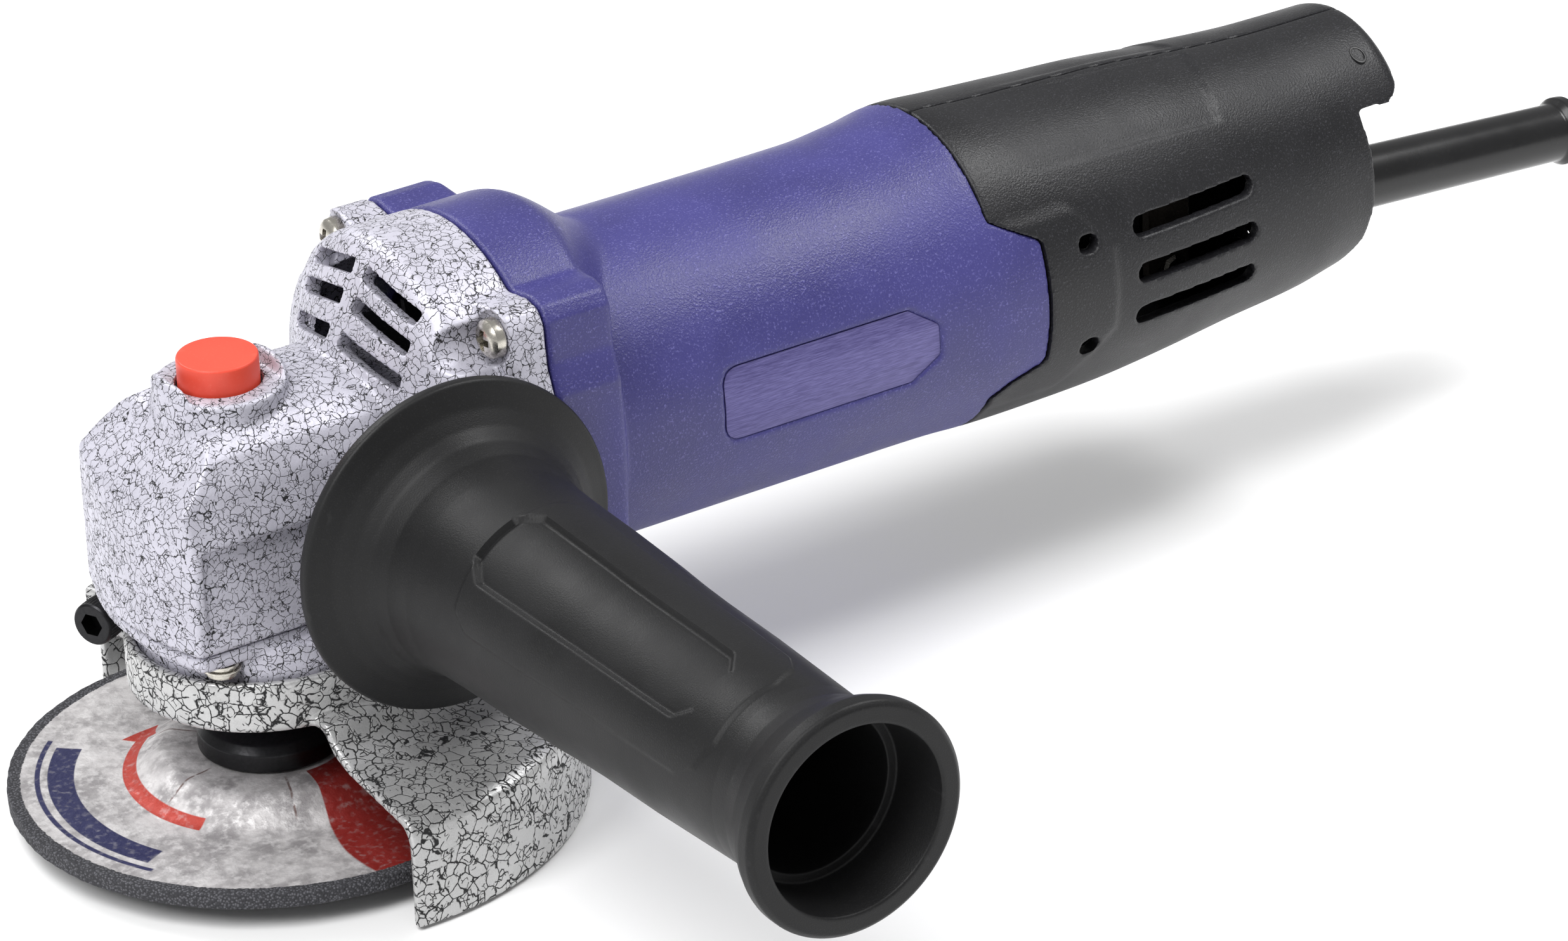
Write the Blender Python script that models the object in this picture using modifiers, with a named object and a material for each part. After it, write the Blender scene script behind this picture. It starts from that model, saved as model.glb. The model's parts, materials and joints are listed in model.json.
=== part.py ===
"""Angle grinder of the 100 mm class, built as an assembly of separate parts.

Frame: the origin is the centre of the spindle's end face, +X runs back along the motor,
-Y is the side that carries the handle, and +Z is up. Sizes below are in millimetres,
and the helper functions turn them into metres.
"""
import math

import bmesh
import bpy
from mathutils import Matrix, Vector

MM = 0.001
GAP = 0.3                   # clearance between neighbouring solids

# Driving dimensions
WHEEL_R = 50.0              # 100 mm depressed-centre wheel
WHEEL_THICK = 3.0
WHEEL_BORE_R = 8.2
DISH_RISE = 4.7             # how far the wheel's centre stands above its rim
MOTOR_Z = 62.0              # height of the armature's axis
BODY_R = 31.0               # straight part of the motor housing
BODY_WALL = 2.8
PARTING_X = 45.0            # gear housing meets motor housing
ARCH_R = 33.3               # crown of the flange and of the hood in front of it
ARCH_Z = 69.2
EAR_Y = 28.0                # housing screws, across
EAR_DZ = 29.0               # housing screws, above and below the armature's axis
HEAD_Y = 21.0               # half width of the gear head
HEAD_FRONT = -28.0
HEAD_BOTTOM = 41.3
CHAMBER_R = 18.0
PLATE_LOW = 38.0            # bearing box plate
PLATE_TOP = HEAD_BOTTOM - GAP
HUB_R = 23.6
COLLAR_R = 25.9
COLLAR_LOW = 23.1
COLLAR_TOP = 33.2
GUARD_R = 59.5
GUARD_LOW = -4.0
GUARD_FRONT_X = -4.5
SHEET = 1.8
CLAMP_ANGLE = 116.0         # degrees round the spindle from +X
CLAMP_R = 32.6
CLAMP_Z = 28.7
BOX_SCREW = (18.2, 17.2)    # bearing box screws, along and across
BUTTON_X = -5.2
BUTTON_R = 7.6
BUTTON_TOP = 89.5
PIN_R = 1.5
LOCK_R = 10.4               # lock pin and crown gear holes, from the spindle axis
HANDLE_X = 20.6
HANDLE_Z = 58.0
HANDLE_FACE = 32.5          # handle boss face, from the middle plane
CROWN_TEETH = 28
PINION_TEETH = 10
MESH_R = 15.0               # mean radius of the crown gear's teeth
PINION_R = MESH_R * PINION_TEETH / CROWN_TEETH
COVER_END = 241.5           # end wall of the rear cover
HOOD_END = 254.0            # hood above the end wall
HOOD_LOW = 78.0
CORD_X = 238.0
CORD_Z = 52.5
CORD_TILT = 4.1             # degrees below level
TOGGLE_X = 237.0
TOGGLE_REST = 14.0          # the lever leans this far to the OFF side at rest
SCREW_SPOTS = ((172.0, 84.5), (172.0, 39.5), (226.0, 43.0))
CLAMP_SCREW_X = 212.5       # cord clamp screws
CLAMP_SCREW_Z = (44.0, 61.0)
VENT_X = 195.5              # middle of the cover's air slots
VENT_Z = (72.6, 63.4, 54.2)
PEEP_X = 168.7              # small openings in front of the air slots
PEEP_Z = (72.8, 51.2)
HOOD_SLOTS = ((19.1, 86.3, 8.0), (22.4, 92.7, 10.0), (25.3, 98.1, 11.0))    # x, z, tilt

# Radii of the parts that sit in a bore
SPINDLE_R = 6.0
THREAD_R = 5.0
SPINDLE_BEARING_R = 15.0
SEAL_R = 11.7
BUSH_R = 6.5
SHAFT_R = 4.0
SHAFT_REAR_R = 3.4
SHAFT_FRONT_R = 2.5
FRONT_BEARING_R = 11.0
REAR_SLEEVE_R = 11.4
FAN_R = 26.0
HOUSING_SCREW_R = 2.1
BOX_SCREW_R = 2.0
COVER_SCREW_R = 1.6
CLAMP_SCREW_R = 1.3
CLAMP_BOLT_R = 2.5
STUD_R = 4.0

ROUND = 28                  # sides of a large turned part
COVER_SIDES = 32            # sides of the rear cover
SMALL = 14                  # sides of a small turned part

# Rear end of the body: distance from the armature axis to the top, side and underside
BODY_SHAPE = ((75, 31.0, 31.0, 31.0), (128, 31.0, 31.0, 31.0), (140, 32.3, 31.2, 31.1),
              (149, 33.8, 31.7, 31.5), (162, 33.0, 31.7, 31.5), (180, 32.2, 31.3, 31.0),
              (196, 31.4, 30.2, 29.6), (212, 29.8, 28.4, 27.9), (230, 28.5, 26.8, 26.2),
              (241, 28.4, 25.6, 23.8), (254, 28.4, 25.0, 22.0))

scene_objects = list(bpy.data.objects)
for old in scene_objects:
    bpy.data.objects.remove(old)

parts = bpy.data.collections.new("angle_grinder")
cutters = bpy.data.collections.new("cutters")
bpy.context.scene.collection.children.link(parts)
bpy.context.scene.collection.children.link(cutters)


# ---------------------------------------------------------------- materials

def material(name, color, metallic, roughness):
    made = bpy.data.materials.new(name)
    made.use_nodes = True
    shader = made.node_tree.nodes["Principled BSDF"]
    shader.inputs["Base Color"].default_value = (*color, 1.0)
    shader.inputs["Metallic"].default_value = metallic
    shader.inputs["Roughness"].default_value = roughness
    made.diffuse_color = (*color, 1.0)
    return made


FINISH = {
    "crackle": ((0.58, 0.57, 0.64), 0.3, 0.45),
    "blue_plastic": ((0.06, 0.05, 0.25), 0.0, 0.45),
    "black_plastic": ((0.02, 0.02, 0.02), 0.0, 0.5),
    "handle_rubber": ((0.025, 0.025, 0.027), 0.0, 0.6),
    "red_plastic": ((0.75, 0.09, 0.05), 0.0, 0.35),
    "steel": ((0.6, 0.6, 0.6), 1.0, 0.3),
    "black_steel": ((0.03, 0.03, 0.03), 0.9, 0.4),
    "zinc": ((0.7, 0.68, 0.62), 1.0, 0.3),
    "lamination": ((0.25, 0.25, 0.27), 0.8, 0.5),
    "copper": ((0.55, 0.2, 0.08), 1.0, 0.35),
    "fibre": ((0.75, 0.7, 0.55), 0.0, 0.8),
    "carbon": ((0.05, 0.05, 0.05), 0.2, 0.6),
    "abrasive": ((0.3, 0.3, 0.31), 0.0, 0.9),
    "brass": ((0.7, 0.5, 0.2), 1.0, 0.3),
}


def finish(obj, slot):
    color, metallic, roughness = FINISH[slot]
    obj.data.materials.clear()
    obj.data.materials.append(material(obj.name, color, metallic, roughness))


# ---------------------------------------------------------------- shape helpers

AXES = {
    "x": Matrix(((0, 0, 1), (1, 0, 0), (0, 1, 0))),       # local XY -> YZ, local Z -> +X
    "y": Matrix(((1, 0, 0), (0, 0, -1), (0, 1, 0))),      # local XY -> XZ, local Z -> -Y
    "z": Matrix.Identity(3),
}
# Local Z runs out to the side that the sign names
AXES_OUT = {1: Matrix(((1, 0, 0), (0, 0, 1), (0, -1, 0))).to_4x4(),
            -1: Matrix(((1, 0, 0), (0, 0, -1), (0, 1, 0))).to_4x4()}


def place(obj, axis, at=(0, 0, 0)):
    turn = AXES[axis].to_4x4() if isinstance(axis, str) else axis
    obj.matrix_world = Matrix.Translation(Vector(at) * MM) @ turn
    return obj


def link(obj, slot=None):
    """A slot makes the object a part of the grinder; without one it is a cutter."""
    if slot is None:
        cutters.objects.link(obj)
        obj.hide_render = True
        obj.display_type = "WIRE"
    else:
        parts.objects.link(obj)
        finish(obj, slot)
    return obj


def smooth(obj, angle=35.0):
    obj.data.shade_smooth()
    obj.data.set_sharp_from_angle(angle=math.radians(angle))
    return obj


def turned(name, profile, slot=None, axis="z", at=(0, 0, 0), sides=ROUND):
    """Turn (radius, height) points round the axis; outer side first, from top to bottom."""
    mesh = bpy.data.meshes.new(name)
    points = [(r * MM, 0, h * MM) for r, h in profile]
    count = len(points)
    on_axis = profile[0][0] == 0
    edges = [(i, i + 1) for i in range(count - 1)]
    if not on_axis:
        edges.append((count - 1, 0))
    mesh.from_pydata(points, edges, [])
    obj = bpy.data.objects.new(name, mesh)
    link(obj, slot)
    screw = obj.modifiers.new("Turn", "SCREW")
    screw.steps = sides
    screw.render_steps = sides
    screw.use_merge_vertices = True
    screw.merge_threshold = 0.00001
    return place(obj, axis, at)


def rod(name, r, low, high, slot=None, axis="z", at=(0, 0, 0), sides=SMALL):
    """Cylinder along an axis, from low to high in local height."""
    shape = bmesh.new()
    bmesh.ops.create_cone(shape, cap_ends=True, segments=sides, radius1=r * MM, radius2=r * MM,
                          depth=(high - low) * MM)
    bmesh.ops.translate(shape, vec=(0, 0, (high + low) / 2 * MM), verts=shape.verts)
    mesh = bpy.data.meshes.new(name)
    shape.to_mesh(mesh)
    shape.free()
    obj = bpy.data.objects.new(name, mesh)
    link(obj, slot)
    smooth(obj)
    return place(obj, axis, at)


def box(name, low, high, slot=None, bevel=0.0, spin=0.0, at=(0, 0, 0)):
    """Box between two corners, turned about Z by spin degrees round the point at."""
    shape = bmesh.new()
    bmesh.ops.create_cube(shape, size=1.0)
    size = [(b - a) * MM for a, b in zip(low, high)]
    middle = [(a + b) / 2 * MM for a, b in zip(low, high)]
    bmesh.ops.scale(shape, vec=size, verts=shape.verts)
    bmesh.ops.translate(shape, vec=middle, verts=shape.verts)
    mesh = bpy.data.meshes.new(name)
    shape.to_mesh(mesh)
    shape.free()
    obj = bpy.data.objects.new(name, mesh)
    link(obj, slot)
    if bevel:
        soften(obj, bevel)
    return place(obj, Matrix.Rotation(math.radians(spin), 4, "Z"), at)


def soften(obj, width, segments=1, angle=40.0):
    bevel = obj.modifiers.new("Bevel", "BEVEL")
    bevel.width = width * MM
    bevel.segments = segments
    bevel.limit_method = "ANGLE"
    bevel.angle_limit = math.radians(angle)
    return obj


def prism(name, outline, low, high, slot=None, axis="z", at=(0, 0, 0)):
    """Flat outline given a thickness, from low to high along the axis' local height."""
    curve = bpy.data.curves.new(name, "CURVE")
    curve.dimensions = "2D"
    curve.fill_mode = "BOTH"
    curve.extrude = (high - low) / 2 * MM
    spline = curve.splines.new("POLY")
    spline.points.add(len(outline) - 1)
    for point, (u, v) in zip(spline.points, outline):
        point.co = (u * MM, v * MM, 0, 1)
    spline.use_cyclic_u = True
    drawn = bpy.data.objects.new(name + "_curve", curve)
    bpy.context.scene.collection.objects.link(drawn)
    bpy.context.view_layer.update()
    seen = drawn.evaluated_get(bpy.context.evaluated_depsgraph_get())
    mesh = bpy.data.meshes.new_from_object(seen)
    bpy.data.objects.remove(drawn)
    shape = bmesh.new()
    shape.from_mesh(mesh)
    bmesh.ops.remove_doubles(shape, verts=shape.verts, dist=1e-7)
    bmesh.ops.dissolve_limit(shape, angle_limit=0.001, verts=shape.verts, edges=shape.edges)
    bmesh.ops.translate(shape, vec=(0, 0, (high + low) / 2 * MM), verts=shape.verts)
    bmesh.ops.recalc_face_normals(shape, faces=shape.faces)
    shape.to_mesh(mesh)
    shape.free()
    mesh.name = name
    obj = bpy.data.objects.new(name, mesh)
    link(obj, slot)
    return place(obj, axis, at)


def loft(name, rings, slot=None):
    """Skin over rings of points of equal count, closed by a face at either end."""
    shape = bmesh.new()
    made = [[shape.verts.new(Vector(point) * MM) for point in ring] for ring in rings]
    count = len(rings[0])
    for near, far in zip(made, made[1:]):
        for i in range(count):
            j = (i + 1) % count
            shape.faces.new((near[i], near[j], far[j], far[i]))
    shape.faces.new(list(reversed(made[0])))
    shape.faces.new(made[-1])
    bmesh.ops.recalc_face_normals(shape, faces=shape.faces)
    mesh = bpy.data.meshes.new(name)
    shape.to_mesh(mesh)
    shape.free()
    return link(bpy.data.objects.new(name, mesh), slot)


def combine(obj, other, operation):
    step = obj.modifiers.new(operation.title(), "BOOLEAN")
    step.operation = operation
    step.solver = "EXACT"
    step.object = other
    return obj


def cut(obj, *others):
    for other in others:
        combine(obj, other, "DIFFERENCE")
    return obj


def join(obj, *others):
    for other in others:
        combine(obj, other, "UNION")
    return obj


def arc(cx, cy, r, start, end, steps):
    """Points on a circle, from one angle to another in degrees."""
    angles = [math.radians(start + (end - start) * i / steps) for i in range(steps + 1)]
    return [(cx + r * math.cos(a), cy + r * math.sin(a)) for a in angles]


def pivot_empty(name, at):
    """Marks a joint's axis; the moving parts are parented to it and keep their places."""
    empty = bpy.data.objects.new(name, None)
    empty.empty_display_size = 0.01
    empty.location = Vector(at) * MM
    parts.objects.link(empty)
    return empty


def hang(pivot, *objects):
    bpy.context.view_layer.update()
    for obj in objects:
        world = obj.matrix_world.copy()
        obj.parent = pivot
        obj.matrix_parent_inverse = pivot.matrix_world.inverted()
        obj.matrix_world = world


# ---------------------------------------------------------------- fasteners and bearings

def screw(name, at, axis, head_r, head_h, shank_r, length, slot="zinc", sides=10):
    """Pan-head screw: the head's underside is at the local origin, the shank runs to +Z."""
    profile = ((0, length), (shank_r, length), (shank_r, 0), (head_r, 0), (head_r, -head_h * 0.5),
               (head_r * 0.75, -head_h * 0.9), (0, -head_h))
    return smooth(turned(name, profile, slot, axis, at, sides))


def ring(name, inner, outer, low, high, slot, axis="z", at=(0, 0, 0), sides=20):
    profile = ((outer, high), (outer, low), (inner, low), (inner, high))
    return smooth(turned(name, profile, slot, axis, at, sides))


# ---------------------------------------------------------------- outlines shared by housings

def flange_outline():
    """Joint face between the two housings: arched crown, an ear at each screw, flat foot."""
    half = arc(0, ARCH_Z, ARCH_R, 90, 52, 5)
    half += [(26.9, 96.4), (30.3, 95.7), (32.2, 93.6), (32.8, 90.0), (33.2, 85.0), (35.5, 79.0),
             (36.0, 62.0), (35.5, 45.0), (33.2, 39.0), (32.8, 34.0), (32.2, 30.4),
             (30.3, 28.2), (26.9, 27.4), (13.0, 26.6), (0.0, 26.4)]
    mirrored = [(-y, z) for y, z in reversed(half[1:-1])]
    return half + mirrored


def body_radius(x, angle):
    """Distance from the armature axis to the body's surface, behind the flange."""
    x = min(max(x, BODY_SHAPE[0][0]), BODY_SHAPE[-1][0])
    near, far = next(pair for pair in zip(BODY_SHAPE, BODY_SHAPE[1:]) if x <= pair[1][0])
    t = (x - near[0]) / (far[0] - near[0])
    top, side, low = [a + (b - a) * t for a, b in zip(near[1:], far[1:])]
    lift = math.sin(angle)
    end = top if lift > 0 else low
    return side + (end - side) * lift * lift


def body_ring(x, angles, inset=0.0):
    points = []
    for angle in angles:
        r = body_radius(x, angle) - inset
        points.append((x, r * math.cos(angle), MOTOR_Z + r * math.sin(angle)))
    return points


# Rear edge of the motor housing, seen from the side: a tab reaches back into the cover
TAB_EDGE = ((148.0, 81.5), (158.4, 76.0), (158.4, 51.0), (151.0, 48.0), (147.2, 45.0))


def behind_tab(name, shift, forward):
    """Prism on one side of the tab's edge; it takes away the housing's or the cover's share."""
    edge = [(x + shift, z) for x, z in TAB_EDGE]
    far_x = 120.0 if forward else 175.0
    outline = [(far_x, 110.0), (edge[0][0], 110.0), *edge, (edge[-1][0], 15.0), (far_x, 15.0)]
    return prism(name, outline, -45, 45, axis="y")


# ---------------------------------------------------------------- gear housing

def make_gear_housing():
    front = arc(8.0, 0, 36.0, 145, 215, 8)
    plan = [(24.0, HEAD_Y), *front, (24.0, -HEAD_Y)]
    housing = prism("gear_housing", plan, HEAD_BOTTOM, 84.0, "crackle")

    side = [(-30.0, 41.0), (26.0, 41.0), (26.0, 84.0), (10.0, 82.5), (-11.0, 81.5),
            (-16.0, 79.0), (-22.0, 73.4), (-27.5, 66.0), (-30.0, 60.0)]
    combine(housing, prism("head_side", side, -40, 40, axis="y"), "INTERSECT")
    crown = [(HEAD_Y, 41.0), (HEAD_Y, 73.0), (19.3, 76.5), (15.5, 79.8), (10.0, 81.8), (0, 82.6)]
    crown += [(-y, z) for y, z in reversed(crown[:-1])]
    combine(housing, prism("head_crown", crown, -40, 60, axis="x"), "INTERSECT")

    hood = ((0, 36.5), (ARCH_R, 36.5), (ARCH_R, 30.0), (ARCH_R - 1.2, 27.6),
            (29.2, 25.5), (14.0, 17.4), (12.0, 14.0), (0, 14.0))
    join(housing, smooth(turned("hood", hood, axis="x", at=(0, 0, ARCH_Z))))
    join(housing, prism("head_flange", flange_outline(), 36.4, PARTING_X, axis="x"))
    join(housing, rod("handle_boss", 11.5, -HANDLE_FACE, HANDLE_FACE, axis="y",
                      at=(HANDLE_X, 0, HANDLE_Z), sides=20))
    join(housing, rod("button_boss", 12.4, 70.0, 86.2, at=(BUTTON_X, 0, 0), sides=20))

    cut(housing, rod("chamber", CHAMBER_R, 40.0, 66.5, sides=24))
    cut(housing, rod("top_bearing_seat", BUSH_R + GAP, 60.0, 76.5))
    cut(housing, rod("pin_bore", PIN_R + GAP, 60.0, 82.0, at=(-LOCK_R, 0, 0), sides=12))
    cut(housing, rod("spring_bore", 3.1, 70.0, 80.0, at=(-LOCK_R, 0, 0), sides=12))
    cut(housing, rod("button_well", BUTTON_R + 0.4, 79.0, 90.0, at=(BUTTON_X, 0, 0), sides=20))
    cut(housing, rod("shaft_bore", 7.0, 8.3, 30.0, axis="x", at=(0, 0, MOTOR_Z)))
    cut(housing, rod("front_bearing_seat", FRONT_BEARING_R + GAP, 23.7, 36.0, axis="x",
                     at=(0, 0, MOTOR_Z), sides=20))
    cut(housing, rod("fan_room", FAN_R + 1.3, 33.0, 50.0, axis="x", at=(0, 0, MOTOR_Z), sides=ROUND))
    inside_hood = ((0, 50.0), (30.3, 50.0), (30.3, 38.6), (27.6, 38.6), (27.6, 28.8), (15.5, 22.0),
                   (0, 22.0))
    air_way = turned("air_way", inside_hood, axis="x", at=(0, 0, ARCH_Z), sides=24)
    cut(air_way, box("air_way_low", (10, -40, 20), (60, 40, 76.5)))
    cut(housing, air_way)
    for side_sign in (-1, 1):
        cut(housing, rod("handle_hole" + str(side_sign), STUD_R + 0.35, HANDLE_FACE - 12.0, 40.0,
                         axis=AXES_OUT[side_sign], at=(HANDLE_X, 0, HANDLE_Z), sides=12))
        for level_sign in (-1, 1):
            spot = (0, side_sign * EAR_Y, MOTOR_Z + level_sign * EAR_DZ)
            tag = "_" + str(side_sign) + str(level_sign)
            cut(housing, rod("screw_pocket" + tag, 5.4, 14.0, 37.5, axis="x", at=spot, sides=12))
            cut(housing, rod("screw_way" + tag, HOUSING_SCREW_R + 0.4, 30.0, 50.0, axis="x",
                             at=spot, sides=8))
        for row in (-1, 1):
            spot = (row * BOX_SCREW[0], side_sign * BOX_SCREW[1], 0)
            cut(housing, rod("box_screw_way_" + str(side_sign) + str(row), BOX_SCREW_R + GAP,
                             40.0, 53.0, at=spot, sides=8))
        for x, z, tilt in HOOD_SLOTS:
            slot = box("hood_slot", (-6.0, 2.0, -1.5), (6.0, 18.6, 1.5))
            lean = Matrix.Rotation(math.radians(28.0), 4, "Y")
            roll = Matrix.Rotation(math.radians(-tilt), 4, "X")
            flip = Matrix.Scale(side_sign, 4, Vector((0, 1, 0)))
            slot.data.transform(flip @ roll @ lean)
            if side_sign < 0:
                slot.data.flip_normals()
            cut(housing, place(slot, "z", (x, 0, z)))
    return smooth(housing)


def make_bearing_box():
    front = arc(8.0, 0, 35.4, 145, 215, 8)
    plan = [(23.0, HEAD_Y - 0.5), *front, (23.0, -HEAD_Y + 0.5)]
    plate = prism("bearing_box", plan, PLATE_LOW, PLATE_TOP, "crackle")
    join(plate, rod("hub", HUB_R, 22.5, PLATE_LOW + 1.0, sides=ROUND))
    join(plate, rod("spigot", CHAMBER_R - 0.35, PLATE_LOW + 1.0, 44.0, sides=24))
    cut(plate, rod("bearing_seat", SPINDLE_BEARING_R + GAP, 29.2, 46.0, sides=20))
    cut(plate, rod("seal_seat", SEAL_R + GAP, 25.0, 30.0, sides=20))
    cut(plate, rod("spindle_way", 9.2, 20.0, 30.0, sides=16))
    for side_sign in (-1, 1):
        for row in (-1, 1):
            spot = (row * BOX_SCREW[0], side_sign * BOX_SCREW[1], 0)
            tag = "_" + str(side_sign) + str(row)
            cut(plate, rod("plate_screw_way" + tag, BOX_SCREW_R + GAP, 30.0, 50.0, at=spot, sides=8))
            cut(plate, rod("head_room" + tag, 3.9, 20.0, PLATE_LOW, at=spot, sides=12))
    return smooth(plate)


def make_front_screws():
    number = 0
    for side_sign in (-1, 1):
        for level_sign in (1, -1):
            number += 1
            spot = (37.2, side_sign * EAR_Y, MOTOR_Z + level_sign * EAR_DZ)
            screw("housing_screw_" + str(number), spot, "x", 3.9, 3.2, HOUSING_SCREW_R, 19.0)
    number = 0
    for side_sign in (-1, 1):
        for row in (-1, 1):
            number += 1
            spot = (row * BOX_SCREW[0], side_sign * BOX_SCREW[1], PLATE_LOW - GAP)
            screw("bearing_box_screw_" + str(number), spot, "z", 3.5, 2.4, BOX_SCREW_R, 14.5)


# ---------------------------------------------------------------- motor housing and rear cover

def make_motor_housing():
    outline = flange_outline()
    angles = [math.atan2(z - MOTOR_Z, y) for y, z in outline]
    face = PARTING_X + GAP
    rings = [[(face, y, z) for y, z in outline]]
    rings.append([(59.0, y, z) for y, z in outline])
    foot = []
    for (y, z), angle in zip(outline, angles):
        lift = max(0.0, math.sin(angle) - 0.6) / 0.4
        x = 62.5 + 12.5 * lift * lift
        foot.append((x, BODY_R * math.cos(angle), MOTOR_Z + BODY_R * math.sin(angle)))
    rings.append(foot)
    for x in (128.0, 140.0, 149.0, 162.0):
        rings.append(body_ring(x, angles))
    housing = loft("motor_housing", rings, "blue_plastic")
    cut(housing, rod("housing_inside", BODY_R - BODY_WALL, 40.0, 170.0, axis="x",
                     at=(0, 0, MOTOR_Z), sides=32))
    cut(housing, behind_tab("housing_tail", 0.0, False))
    for side_sign in (-1, 1):
        for level_sign in (-1, 1):
            spot = (0, side_sign * EAR_Y, MOTOR_Z + level_sign * EAR_DZ)
            tag = "_" + str(side_sign) + str(level_sign)
            cut(housing, rod("thread_way" + tag, HOUSING_SCREW_R + 0.4, 40.0, 57.0, axis="x",
                             at=spot, sides=8))
    return smooth(housing)


def stadium(cx, cz, length, width, steps=3):
    r = width / 2
    half = length / 2 - r
    return arc(cx + half, cz, r, -90, 90, steps) + arc(cx - half, cz, r, 90, 270, steps)


def make_rear_cover(name, side_sign):
    angles = [2 * math.pi * i / COVER_SIDES for i in range(COVER_SIDES)]
    stations = (146.0, 149.0, 180.0, 196.0, 212.0, 230.0, 241.0, 251.5)
    rings = [body_ring(x, angles) for x in stations]
    rings.append(body_ring(HOOD_END, angles, 2.0))
    cover = loft(name, rings, "black_plastic")

    stations = (144.0, 180.0, 212.0, COVER_END - 3.0)
    inside = [body_ring(x, angles, 2.6) for x in stations]
    inner = loft(name + "_inside", inside)
    cut(inner, box(name + "_cradle_keep", (161.0, -40, 49.0), (169.0, 40, 75.0)))
    for number, (x, z) in enumerate(SCREW_SPOTS):
        cut(inner, rod(name + "_boss_keep" + str(number), 4.2, -40, 40, axis="y", at=(x, 0, z),
                       sides=10))
    if side_sign > 0:
        cut(inner, box(name + "_shelf_keep", (207.0, 6.0, 41.0), (218.0, 40.0, 64.0)))
    cut(cover, inner)

    cut(cover, behind_tab(name + "_front", GAP, True))
    low_y, high_y = sorted((-50.0 * side_sign, GAP / 2 * side_sign))
    cut(cover, box(name + "_other_half", (100, low_y, 0), (300, high_y, 130)))
    lower_end = [(COVER_END, 0.0), (270.0, 0.0), (270.0, HOOD_LOW), (251.0, HOOD_LOW)]
    lower_end += arc(COVER_END + 2.0, HOOD_LOW - 2.0, 2.0, 90, 180, 3)
    cut(cover, prism(name + "_below_hood", lower_end, -50, 50, axis="y"))
    cut(cover, rod(name + "_bearing_hole", REAR_SLEEVE_R + GAP, 155.0, 175.0, axis="x",
                   at=(0, 0, MOTOR_Z), sides=20))
    cut(cover, box(name + "_toggle_way", (233.0, -9.2, HOOD_LOW - 1.0), (260.0, 9.2, 84.8)))
    cut(cover, rod(name + "_cord_way", 7.1, 230.0, 250.0, axis="x", at=(0, 0, CORD_Z - 0.15),
                   sides=16))
    wall_low, wall_high = sorted((-8.0 * side_sign, -45.0 * side_sign))
    for number, z in enumerate(VENT_Z):
        cut(cover, prism(name + "_vent" + str(number), stadium(VENT_X, z, 31.0, 4.1),
                         wall_low, wall_high, axis="y"))
    for number, z in enumerate(PEEP_Z):
        cut(cover, prism(name + "_peep" + str(number), stadium(PEEP_X, z, 4.6, 3.6, 2),
                         wall_low, wall_high, axis="y"))
    out = AXES_OUT[1]
    for number, (x, z) in enumerate(SCREW_SPOTS):
        tag = name + "_screw_way" + str(number)
        way_low, way_high = (-12.0, 20.0) if side_sign > 0 else (-9.0, 12.0)
        cut(cover, rod(tag, COVER_SCREW_R + GAP, way_low, way_high, axis=out, at=(x, 0, z), sides=8))
        if side_sign > 0:
            cut(cover, rod(tag + "_head", 3.4, 10.0, 45.0, axis=out, at=(x, 0, z), sides=12))
    if side_sign > 0:
        for z in CLAMP_SCREW_Z:
            cut(cover, rod(name + "_clamp_way" + str(z), CLAMP_SCREW_R + GAP, 2.0, 15.0, axis=out,
                           at=(CLAMP_SCREW_X, 0, z), sides=8))
    return smooth(cover)


def make_rear_inside():
    for number, (x, z) in enumerate(SCREW_SPOTS):
        screw("rear_cover_screw_" + str(number + 1), (x, 10.3, z), AXES_OUT[-1], 3.1, 2.2,
              COVER_SCREW_R, 17.0)
    plate = box("cord_clamp", (207.5, 2.0, 41.5), (217.5, 5.7, 63.5), "fibre", 0.8)
    for number, z in enumerate(CLAMP_SCREW_Z):
        cut(plate, rod("clamp_hole" + str(number), CLAMP_SCREW_R + GAP, -10.0, 10.0, axis="y",
                       at=(CLAMP_SCREW_X, 0, z), sides=8))
        screw("cord_clamp_screw_" + str(number + 1), (CLAMP_SCREW_X, 1.7, z), AXES_OUT[1], 2.9, 1.5,
              CLAMP_SCREW_R, 11.0, sides=8)
    box("switch_body", (203.0, -9.0, 67.0), (232.0, 9.0, 83.5), "black_plastic", 0.6)


def make_toggle():
    spin = Matrix.Rotation(math.radians(-TOGGLE_REST), 4, "Z")
    outline = [(-4.4, -2.6), (8.0, -2.6), (12.3, -3.0), *arc(13.3, 0, 2.8, -70, 70, 4),
               (12.3, 3.0), (8.0, 2.6), (-4.4, 2.6)]
    lever = prism("switch_toggle", outline, 78.4, 84.0, "black_plastic")
    place(lever, spin, (TOGGLE_X, 0, 0))
    hang(pivot_empty("toggle_pivot", (TOGGLE_X, 0, 81.0)), lever)


def make_cord_guard():
    profile = ((6.0, 75.5), (7.1, 74.6), (7.1, 72.8), (5.9, 71.6), (6.5, 4.2), (6.5, -0.6),
               (9.0, -0.6), (9.0, -4.0), (3.6, -4.0), (3.6, 75.5))
    lean = Matrix.Rotation(math.radians(90.0 + CORD_TILT), 4, "Y")
    guard = turned("cord_guard", profile, "handle_rubber", lean, (CORD_X, 0, CORD_Z), 16)
    return smooth(guard)


# ---------------------------------------------------------------- motor

def sector(r_in, r_out, start, end, steps):
    return arc(0, 0, r_out, start, end, steps) + arc(0, 0, r_in, end, start, steps)


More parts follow.
